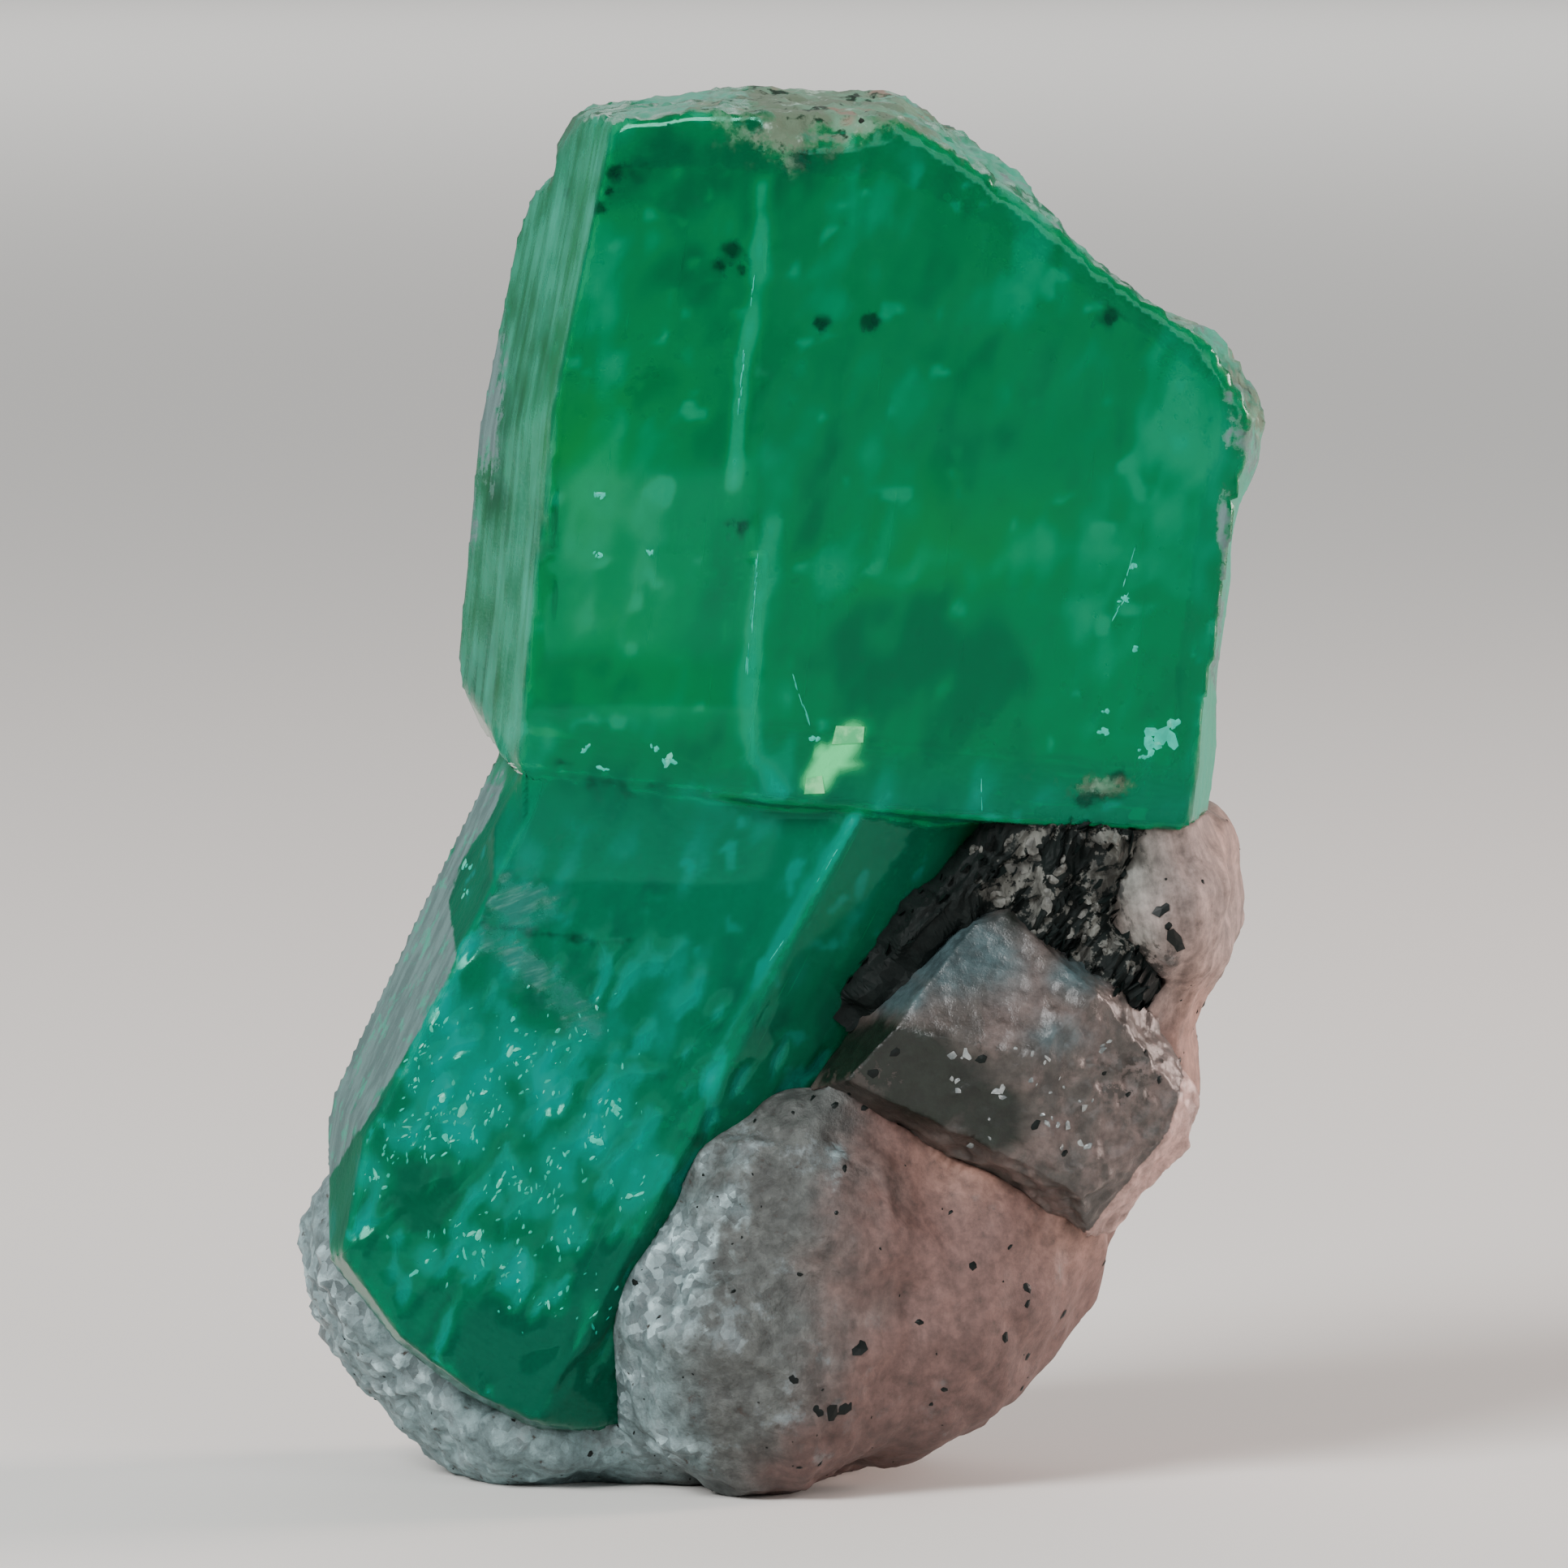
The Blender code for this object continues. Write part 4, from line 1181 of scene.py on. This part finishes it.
# How far each kind strays from the middle, and its finish
FACET_REACH = {"dim_facets": 0.80, "bright_facets": 0.12, "bright_glints": 0.40}
FACET_FINISH = {
    "dim_facets": "dim_facets", "bright_facets": "facet_flashes",
    "bright_glints": "crack_reflections",
}
# Larger facets with a painted flash: across, height, length, width
FLASH_SPOTS = (
    (-8.98, 17.5, 0.36, 0.30), (-8.98, 16.6, 0.24, 0.20), (-3.1, 20.45, 0.50, 0.20),
    (-9.7, 13.2, 0.60, 0.15), (-9.5, 10.9, 0.45, 0.20), (-8.95, 10.55, 0.55, 0.22),
    (-7.6, 12.2, 0.40, 0.14), (11.1, 21.5, 0.30, 0.24), (10.75, 20.9, 0.30, 0.24),
    (-7.9, 8.5, 0.40, 0.16), (-8.5, 7.0, 0.35, 0.20),
)


def add_crack(bm, tree, rng, x0, z0, x1, z1):
    """A broken bright line of painted reflection between two points of the front view."""
    start, end = Vector((x0, z0)), Vector((x1, z1))
    span = end - start
    along = Vector((span.x, 0.0, span.y)).normalized()
    count = max(3, int(span.length / CRACK_PIECE))
    for index in range(count):
        if rng.random() < CRACK_GAPS:
            continue
        spot = start + span * ((index + rng.uniform(0, 1)) / count)
        place, normal = seen_at(tree, spot.x + rng.gauss(0, 0.02), spot.y)
        if place is None:
            continue
        chip(bm, place, normal, along, rng.uniform(0.2, 0.55),
             CRACK_WIDTH * rng.uniform(0.6, 1.6), 0.04, rng, corners=5)


def add_sparkles(pieces, tree, rng, mid_x, mid_z):
    """The painted glints of one pitted place: tiny facets drawn out along the lower prism."""
    for number, kind in enumerate(FACET_KINDS):
        reach = FACET_REACH[kind]
        out, up = rng.gauss(0, 0.5 * reach), rng.gauss(0, reach)
        across = mid_x + out * LOWER_AXIS.z + up * LOWER_AXIS.x
        height = mid_z - out * LOWER_AXIS.x + up * LOWER_AXIS.z
        place, normal = seen_at(tree, across, height)
        if place is None or normal.y > -0.35:
            continue
        facing = tilted(normal, 0.35, rng)
        along = tilted(LOWER_AXIS, 0.7, rng)
        size = rng.uniform(*(LARGE_FACET if number < 2 else SMALL_FACET))
        chip(pieces[kind], place, facing, along, size, size * rng.uniform(0.2, 0.5), 0.025, rng)


class SPECIMEN_OT_glints(bpy.types.Operator):
    """Builds the painted reflections and glints on the faces of the emerald: bright cracks, chips
    and tiny facets
    """
    bl_idname = "specimen.glints"
    bl_label = "Bright cracks and facets"

    def execute(self, context):
        rng = random.Random(SEEDS["glints"])
        tree = tree_of(BUILT["emerald_crystals"])
        pieces = {name: bmesh.new() for name in FACET_FINISH}
        for crack in BRIGHT_CRACKS:
            add_crack(pieces["bright_glints"], tree, rng, *crack)
        for spot in CYAN_SPOTS:
            chip_group(
                pieces["bright_glints"], tree, rng, spot, 5, (0.3, 0.3), (0.4, 0.9), 0.05)
        for across, height, length, width in FLASH_SPOTS:
            place, normal = seen_at(tree, across, height)
            chip(pieces["bright_facets"], place, normal, LOWER_AXIS, length, width, 0.05, rng,
                 corners=7)
        for mid_x, mid_z in SPARKLE_SPOTS:
            add_sparkles(pieces, tree, rng, mid_x, mid_z)
        for name, bm in pieces.items():
            add_piece(name, finished(bm, name), finish(FACET_FINISH[name]))
        bm = bmesh.new()
        for outline in CHIP_FACETS:
            slab(bm, tree, outline, 0.03, 0.2)
        add_piece("bright_chip", finished(bm, "bright_chip"), finish("chip_reflection"))
        return {"FINISHED"}


# ------------------------------------------------------------------ the matrix
CONTACT = 0.06          # how far the rock reaches past the face of a crystal it holds
GAP_REACH = 0.85        # rock nearer to a crystal than this is drawn up to it
GAP_CLOSED = 0.42       # and all the way from this distance


def close_gap(points, tree):
    """Draws rock that lies just beside a crystal up to its face."""
    places, normals, distances = nearest(tree, points)
    share = smooth(GAP_REACH, GAP_CLOSED, distances / MM)
    target = places - normals * (CONTACT * MM)
    return points + (target - points) * share[:, None], share


# Soft patches of the rock in the front view: across, height, reach across, reach in height,
# strength. Bright sugary grains, a painted peach highlight on the top and right of the pink
# feldspar, then black flecks and ashen feldspar beside the mica.
SUGAR_PATCHES = (
    (-2.9, 6.4, 1.4, 1.9, 1.1), (-1.4, 8.0, 0.7, 0.8, 0.9), (-3.9, 4.9, 0.8, 1.8, 0.9),
    (-2.0, 9.2, 1.2, 1.0, 0.5), (1.6, 8.9, 0.4, 0.9, 0.6), (-4.4, 2.6, 0.5, 1.4, 0.8),
    (-3.2, 1.0, 1.2, 0.6, 0.7), (-12.8, 5.0, 1.4, 2.6, 0.9), (-10.5, 2.8, 2.0, 1.2, 0.8),
    (-9.4, 1.0, 3.0, 0.8, 0.4),
)
PEACH_HIGHLIGHTS = (
    (5.8, 9.3, 1.8, 1.2, 0.7), (8.6, 7.2, 1.4, 1.2, 0.5), (10.8, 9.0, 1.2, 2.2, 0.9),
    (12.0, 12.2, 0.8, 2.4, 0.9), (12.9, 18.3, 0.6, 1.4, 0.4),
)
FLECK_PATCHES = ((9.7, 17.4, 0.8, 1.8, 0.50), (10.6, 14.8, 0.8, 0.6, 0.45))
ASHEN_PATCHES = ((9.9, 17.4, 1.1, 2.2, 1.0), (10.2, 15.4, 0.8, 1.0, 0.8))
# The part of the mica seam that is mixed with feldspar
MIXED_MICA = (
    (9.6, 17.0, 1.5, 2.0, 1.0), (8.0, 17.4, 1.2, 1.2, 0.5), (9.0, 15.9, 0.9, 0.8, 0.7),
    (6.8, 16.9, 1.0, 0.8, 0.5),
)
ROCK_VOXEL = 0.163          # size of the faces of the rock
MICA_VOXEL = 0.11


def feldspar_mesh(look):
    """The lump of rock: grainy at the left, smooth at the right, closed up to the crystals."""
    mesh = applied(
        welded("feldspar_matrix"), "REMESH", mode="VOXEL", voxel_size=ROCK_VOXEL * MM)
    points = read_vectors(mesh, "co")
    normals = read_vectors(mesh, "normal")
    held = np.zeros(len(points))
    for node in ("emerald", "quartz"):
        points, share = close_gap(points, tree_of(welded(node)))
        held = np.maximum(held, share)
    x, y, z = points.T / MM
    drift = 1.5 * fractal(points, 4.0, 2, 3.0)
    view = in_view(points)
    front = smooth(2.0, -1.0, y)
    sugar = patches(SUGAR_PATCHES, *view)
    sugary = smooth(3.5, -1.0, x + drift) * (
        0.35 + 0.65 * np.maximum(sugar, smooth(-1.0, 2.0, y)))
    shoulder = smooth(12.0, 14.5, z) * smooth(5.0, 7.0, x)
    grooves = fractal(drawn_out(points, np.array(leaning(ROCK_LEAN)), 0.85), 0.9, 3, 19.0)
    cells = grains(points, look.grain)
    worn = smooth(5.0, 1.0, x + drift)
    height = (0.04 + 0.10 * worn) * fractal(points, 2.0, 4, 2.0)
    height += (0.012 + 0.035 * worn) * fractal(points, 0.5, 3, 12.0)
    height += sugary * (0.20 * (0.45 - cells) * 2.0
                        + 0.15 * (ridged(points, 1.5, 6.0) - 0.6)
                        + 0.06 * fractal(points, 0.4, 2, 9.0))
    height += shoulder * 0.13 * grooves + (1.0 - sugary) * (1.0 - shoulder) * 0.03 * grooves
    free = (1.0 - held) * smooth(0.0, 0.3, z)
    points = points + normals * (height * free * MM)[:, None]
    points[:, 2] = np.maximum(points[:, 2], 0.0)
    set_points(mesh, points)
    hidden = (1.0 - front) * smooth(1.0, -3.0, x + drift) * smooth(
        -0.3, 0.5, fractal(points, 3.0, 3, 27.0))
    set_masks(
        mesh, sugar=np.clip(front * sugar + 0.6 * hidden, 0, 1), cell=cells,
        peach=front * patches(PEACH_HIGHLIGHTS, *view),
        fleck=front * patches(FLECK_PATCHES, *view),
        ashen=front * patches(ASHEN_PATCHES, *view))
    return mesh


class SPECIMEN_OT_feldspar(bpy.types.Operator):
    """Builds the lump of feldspar that holds the crystals"""
    bl_idname = "specimen.feldspar"
    bl_label = "Feldspar matrix"

    def execute(self, context):
        look = context.scene.rock_look
        mesh = feldspar_mesh(look)
        add_piece("feldspar_rock", mesh, feldspar_material(look), ("feldspar_matrix",))
        return {"FINISHED"}


# Parts of the quartz in the front view: across, height, reach across, reach in height,
# strength. Bluish and clean, dark green and clear, and stained.
QUARTZ_COLD = (
    (4.9, 15.2, 1.9, 1.5, 1.2), (3.4, 14.0, 1.2, 0.9, 0.9), (8.5, 14.4, 1.0, 0.8, 0.8),
    (7.8, 12.5, 1.1, 0.8, 0.6),
)
QUARTZ_CLEAR = (
    (3.0, 12.0, 2.4, 1.1, 1.3), (4.4, 11.2, 1.9, 1.2, 1.3), (6.0, 10.4, 1.2, 1.1, 1.1),
    (6.6, 15.9, 0.5, 0.8, 0.6),
)
QUARTZ_STAIN = (
    (10.0, 11.6, 1.2, 1.0, 0.55), (2.4, 11.4, 1.2, 0.6, 0.5), (5.6, 12.4, 0.8, 0.4, 0.5),
)
# The feldspar skin lies right of this line: height, and how far across
SKIN_EDGE = ((7.0, 8.6), (7.5, 9.0), (10.0, 11.05), (12.0, 11.6), (13.2, 10.9), (14.0, 10.4))
SKIN_THICKNESS = 0.10


def quartz_mesh():
    """The quartz crystal with its torn lower faces and the skin of feldspar on its right."""
    mesh = applied(welded("quartz"), "REMESH", mode="SHARP", octree_depth=7, scale=0.9)
    points = read_vectors(mesh, "co")
    normals = read_vectors(mesh, "normal")
    x, y, z = points.T / MM
    torn = smooth(-9.5, -4.5, 0.75 * x - 0.9 * z)
    height = 0.05 * fractal(points, 1.6, 3, 4.0) + 0.02 * fractal(points, 0.45, 3, 8.0)
    height += torn * (0.14 * (ridged(points, 1.2, 2.0) - 0.6) + 0.05 * fractal(points, 0.4, 2, 5.0))
    across, seen = in_view(points)
    front = smooth(2.0, 0.0, y)
    skin_edge = np.interp(seen, *zip(*SKIN_EDGE))
    skin = smooth(skin_edge - 0.1, skin_edge + 0.1, across)
    height += SKIN_THICKNESS * skin
    set_points(mesh, points + normals * (height * MM)[:, None])
    set_masks(
        mesh, skin=skin, cold=front * patches(QUARTZ_COLD, across, seen),
        clear=front * patches(QUARTZ_CLEAR, across, seen),
        stain=front * patches(QUARTZ_STAIN, across, seen))
    return mesh


class SPECIMEN_OT_quartz(bpy.types.Operator):
    """Builds the grey quartz crystal"""
    bl_idname = "specimen.quartz"
    bl_label = "Quartz crystal"

    def execute(self, context):
        look = context.scene.rock_look
        add_piece("quartz_crystal", quartz_mesh(), quartz_material(look), ("quartz",))
        return {"FINISHED"}


# The mica leaves lean to the right and a little to the back
LEAF_LEAN = math.radians(38)
LEAF = (math.cos(LEAF_LEAN), 0.25, -math.sin(LEAF_LEAN))
LEAF_THICKNESS = 0.34       # of a bundle of leaves that shows as one step
MICA_FLAKES = 420


def mica_mesh():
    """The books of mica, split into leaves that lean to the right."""
    mesh = applied(welded("mica_seam"), "REMESH", mode="VOXEL", voxel_size=MICA_VOXEL * MM)
    points = read_vectors(mesh, "co")
    normals = read_vectors(mesh, "normal")
    across_leaves = points @ np.array(LEAF) / MM + 0.35 * fractal(points, 1.4, 2, 3.0)
    steps = np.abs((across_leaves / LEAF_THICKNESS) % 1.0 - 0.5)
    height = 0.10 * fractal(points, 0.9, 3, 14.0) + 0.22 * (steps - 0.3)
    points = points + normals * (height * MM)[:, None]
    for node in ("emerald", "quartz", "feldspar_matrix"):
        points, _ = close_gap(points, tree_of(welded(node)))
    set_points(mesh, points)
    mesh.polygons.foreach_set("use_smooth", [False] * len(mesh.polygons))
    set_masks(mesh, feldspar=patches(MIXED_MICA, *in_view(points)))
    return mesh


# Grains of grey feldspar caught in the mica: across, height, length, width
MICA_GRAINS = (
    (6.9, 17.6, 0.9, 0.6), (7.6, 16.6, 0.8, 0.5), (6.1, 16.4, 0.7, 0.5), (8.1, 17.5, 0.7, 0.45),
    (7.3, 15.6, 0.6, 0.4), (5.6, 17.9, 0.5, 0.35), (8.7, 16.3, 0.6, 0.4), (6.6, 18.2, 0.5, 0.3),
    (8.4, 15.5, 0.5, 0.3), (9.4, 15.2, 0.5, 0.3),
)


class SPECIMEN_OT_mica(bpy.types.Operator):
    """Builds the seam of black mica and the feldspar grains caught in it"""
    bl_idname = "specimen.mica"
    bl_label = "Mica seam"

    def execute(self, context):
        look = context.scene.rock_look
        black, ash = Vector(look.mica), Vector(look.ash)
        mesh = mica_mesh()
        add_piece("mica_books", mesh, mica_material(look), ("mica_seam",))
        rng = random.Random(SEEDS["mica"])
        tree = tree_of(mesh)
        crumbs = bmesh.new()
        for spot in MICA_GRAINS:
            chip_group(
                crumbs, tree, rng, spot, 4, (0.3, 0.4), (0.35, 0.8), 0.16, tilt=0.3, corners=7)
        flakes = bmesh.new()
        points = read_vectors(mesh, "co")
        leaf = Vector(LEAF).normalized()
        for _ in range(MICA_FLAKES):
            place, _ = random_place(tree, points, rng)
            facing = tilted(leaf, 0.45, rng)
            size = rng.uniform(0.25, 0.8)
            chip(flakes, place, facing, any_direction(rng), size, size * rng.uniform(0.4, 0.8),
                 0.03, rng)
        material = plain_material("biotite_flakes", black, black * 1.5, 0.5, 0.45, 1.6, 0.4, 0.12)
        add_piece("mica_flakes", finished(flakes, "mica_flakes"), material)
        # Crumbs of the same grey-tan feldspar as the shoulder beside them
        material = plain_material(
            "feldspar_crumbs", ash * 0.9, ash * 0.3, 0.35, 0.6, 1.53, 0.5, 0.3)
        add_piece("feldspar_grains", finished(crumbs, "feldspar_grains"), material)
        return {"FINISHED"}


# Specks of black mica on the rock and the quartz: across, height, size
SPECKS = (
    (2.28, 3.85, 0.55), (1.53, 2.03, 0.80), (1.85, 2.15, 0.60), (1.10, 2.10, 0.50),
    (6.44, 4.09, 0.40), (5.51, 6.14, 0.30), (7.07, 5.49, 0.36), (7.07, 5.02, 0.30),
    (6.56, 6.66, 0.26), (4.69, 2.62, 0.28), (12.23, 13.43, 0.30), (10.88, 16.24, 0.60),
    (11.23, 15.42, 0.75), (11.35, 15.18, 0.50), (11.05, 15.75, 0.30), (3.99, 4.56, 0.26),
    (1.18, 0.58, 0.26), (0.60, 0.47, 0.24), (2.47, 10.63, 0.40), (7.49, 2.92, 0.26),
    (-5.36, 0.70, 0.24), (0.60, 5.96, 0.22), (-1.27, 5.49, 0.20), (-2.09, 8.76, 0.24),
    (-9.33, 5.26, 0.24), (1.00, 10.9, 0.34), (1.6, 10.7, 0.30), (2.0, 11.0, 0.26),
    (5.74, 12.03, 0.42), (7.26, 10.16, 0.50), (8.08, 9.34, 0.30), (9.2, 11.6, 0.25),
    (10.4, 12.2, 0.35), (9.9, 11.0, 0.25), (3.3, 12.2, 0.4), (2.7, 11.6, 0.5), (10.8, 11.4, 0.3),
)
SPECKS_ELSEWHERE = 620
# Fresh chips on the quartz, painted lighter as sparkles: across and height of each group
QUARTZ_SPARKS = (
    (5.3, 12.15), (7.49, 11.33), (8.08, 11.45), (7.61, 10.28), (7.96, 10.04), (8.66, 9.69),
    (6.4, 11.0), (7.1, 12.2), (8.9, 10.9), (5.0, 11.4), (9.3, 12.3), (6.0, 10.1),
)
SPARKS_PER_SPOT = 3
SPARK_SPREAD = 0.25


def frontmost(trees, across, height):
    """Of the places on several surfaces that lie behind a point of the front view, the nearest."""
    hits = [seen_at(tree, across, height) for tree in trees]
    hits = [hit for hit in hits if hit[0] is not None]
    return min(hits, key=lambda hit: hit[0].y, default=(None, None))


class SPECIMEN_OT_specks(bpy.types.Operator):
    """Builds the specks of mica on the rock and the bright facets on the quartz"""
    bl_idname = "specimen.specks"
    bl_label = "Mica specks"

    def execute(self, context):
        black = Vector(context.scene.rock_look.mica)
        rng = random.Random(SEEDS["specks"])
        rock_tree = tree_of(BUILT["feldspar_rock"])
        quartz_tree = tree_of(BUILT["quartz_crystal"])
        specks = bmesh.new()
        for across, height, size in SPECKS:
            place, normal = frontmost((rock_tree, quartz_tree), across, height)
            if place is not None:
                chip(specks, place, normal, any_direction(rng), size,
                     size * rng.uniform(0.5, 0.8), 0.07, rng)
        points = read_vectors(BUILT["feldspar_rock"], "co")
        for _ in range(SPECKS_ELSEWHERE):
            place, normal = random_place(rock_tree, points, rng)
            size = 0.09 + 0.28 * rng.random() ** 3
            chip(specks, place, normal, any_direction(rng), size, size * rng.uniform(0.4, 0.8),
                 0.05, rng)
        material = plain_material("biotite_specks", black, black * 1.3, 0.3, 0.4, 1.6, 0.0, 0.12)
        add_piece("mica_specks", finished(specks, "mica_specks"), material)
        facets = bmesh.new()
        for across, height in QUARTZ_SPARKS:
            for _ in range(SPARKS_PER_SPOT):
                place, normal = seen_near(
                    quartz_tree, rng, across, height, SPARK_SPREAD, SPARK_SPREAD)
                if place is not None:
                    size = 0.14 + 0.36 * rng.random() ** 2
                    chip(facets, place, tilted(normal, 0.4, rng), any_direction(rng), size,
                         size * 0.6, 0.04, rng, corners=5)
        mesh = finished(facets, "quartz_facets")
        add_piece("quartz_facets", mesh, finish("quartz_chips"))
        return {"FINISHED"}


# ------------------------------------------------------------------ stage
FLOOR_RADIUS = 6.0          # metres
WORLD_GREY = 0.22
SENSOR_WIDTH = 36.0         # of the camera
MIDDLE = Vector((0.157, 0.0, 19.83)) * MM       # what the camera and most lamps aim at
BACKDROP = Vector((0.0, 3.3, 0.0))              # the floor behind the specimen, in metres
WHITE = (1.0, 1.0, 1.0)
# Soft lamps: place in metres, what they aim at, size in metres, power in watts, colour
LAMPS = {
    "key": ((-0.34, -0.46, 0.40), MIDDLE, (0.28, 0.28), 6.6, WHITE),
    "right_rim": ((0.40, 0.14, 0.06), MIDDLE, (0.12, 0.30), 3.6, (1.0, 0.77, 0.70)),
    "fill": ((0.34, -0.46, 0.22), MIDDLE, (0.30, 0.30), 1.2, WHITE),
    "backdrop": ((0.0, 3.2, 1.8), BACKDROP, (4.0, 3.5), 80.0, WHITE),
}


def facing_along(direction):
    """The rotation of a lamp or camera that looks along a direction."""
    return direction.to_track_quat("-Z", "Y").to_euler()


def add_floor(look):
    """A matt paper floor, wide enough to fill the view behind the specimen."""
    bm = bmesh.new()
    bmesh.ops.create_circle(bm, cap_ends=True, segments=96, radius=FLOOR_RADIUS)
    mesh = bpy.data.meshes.new("floor")
    bm.to_mesh(mesh)
    bm.free()
    floor = bpy.data.objects.new("floor", mesh)
    bpy.context.scene.collection.objects.link(floor)
    material, tree, _ = new_material("studio_floor_paper")
    add(tree, "OutputMaterial", add(tree, "BsdfPrincipled", look.floor, 0.9))
    mesh.materials.append(material)


def add_lamp(name, place, target, size, power, colour):
    """A rectangular soft lamp."""
    data = bpy.data.lights.new(name, "AREA")
    data.shape = "RECTANGLE"
    data.size, data.size_y = size
    data.energy = power
    data.color = colour
    lamp = bpy.data.objects.new(name, data)
    bpy.context.scene.collection.objects.link(lamp)
    lamp.location = place
    lamp.rotation_euler = facing_along(target - Vector(place))


def add_world(strength):
    """An even grey that fills the shadows."""
    world = bpy.data.worlds.new("studio")
    world.use_nodes = True
    background = world.node_tree.nodes["Background"]
    background.inputs["Color"].default_value = (WORLD_GREY, WORLD_GREY, WORLD_GREY, 1.0)
    background.inputs["Strength"].default_value = strength
    bpy.context.scene.world = world


def add_camera(look):
    """A long lens on the show side."""
    data = bpy.data.cameras.new("camera")
    data.lens = look.lens
    data.sensor_width = SENSOR_WIDTH
    data.clip_end = 30.0
    camera = bpy.data.objects.new("camera", data)
    bpy.context.scene.collection.objects.link(camera)
    back = Vector((0.0, -math.cos(look.elevation), math.sin(look.elevation)))
    camera.location = MIDDLE + back * (look.frame_width * look.lens / SENSOR_WIDTH)
    camera.rotation_euler = facing_along(-back)
    bpy.context.scene.camera = camera


class SPECIMEN_OT_stage(bpy.types.Operator):
    """Sets the floor, the soft lights and the camera"""
    bl_idname = "specimen.stage"
    bl_label = "Stage"

    def execute(self, context):
        look = context.scene.stage_look
        add_floor(look)
        add_world(look.strength)
        for name, (place, target, size, power, colour) in LAMPS.items():
            add_lamp(name, place, target, size, power * look.strength, colour)
        add_camera(look)
        return {"FINISHED"}


# ------------------------------------------------------------------ panel and registration
class SPECIMEN_PT_panel(bpy.types.Panel):
    """Lists the pieces of the specimen and their settings"""
    bl_label = "Emerald in matrix"
    bl_idname = "SPECIMEN_PT_panel"
    bl_space_type = "VIEW_3D"
    bl_region_type = "UI"
    bl_category = "Emerald"

    def draw(self, context):
        for name in OPERATORS:
            self.layout.operator("specimen." + name)
        for group in GROUPS:
            settings = getattr(context.scene, group)
            for prop in settings.bl_rna.properties:
                if prop.identifier not in {"rna_type", "name"}:
                    self.layout.prop(settings, prop.identifier)


OPERATORS = (
    "emerald", "veils", "inclusions", "glints", "feldspar", "quartz", "mica", "specks", "stage",
)
GROUPS = {"emerald_look": EmeraldLook, "rock_look": RockLook, "stage_look": StageLook}
CLASSES = (
    EmeraldLook, RockLook, StageLook, SPECIMEN_OT_emerald, SPECIMEN_OT_veils,
    SPECIMEN_OT_inclusions, SPECIMEN_OT_glints, SPECIMEN_OT_feldspar, SPECIMEN_OT_quartz,
    SPECIMEN_OT_mica, SPECIMEN_OT_specks, SPECIMEN_OT_stage, SPECIMEN_PT_panel,
)


def register():
    """Makes the settings, operators and panel known to Blender."""
    for cls in CLASSES:
        bpy.utils.register_class(cls)
    for name, group in GROUPS.items():
        setattr(bpy.types.Scene, name, PointerProperty(type=group))


def unregister():
    """Takes them away again."""
    for name in GROUPS:
        delattr(bpy.types.Scene, name)
    for cls in reversed(CLASSES):
        bpy.utils.unregister_class(cls)


def main():
    """Builds every piece and the stage."""
    register()
    for name in OPERATORS:
        getattr(bpy.ops.specimen, name)()


if __name__ == "__main__":
    main()
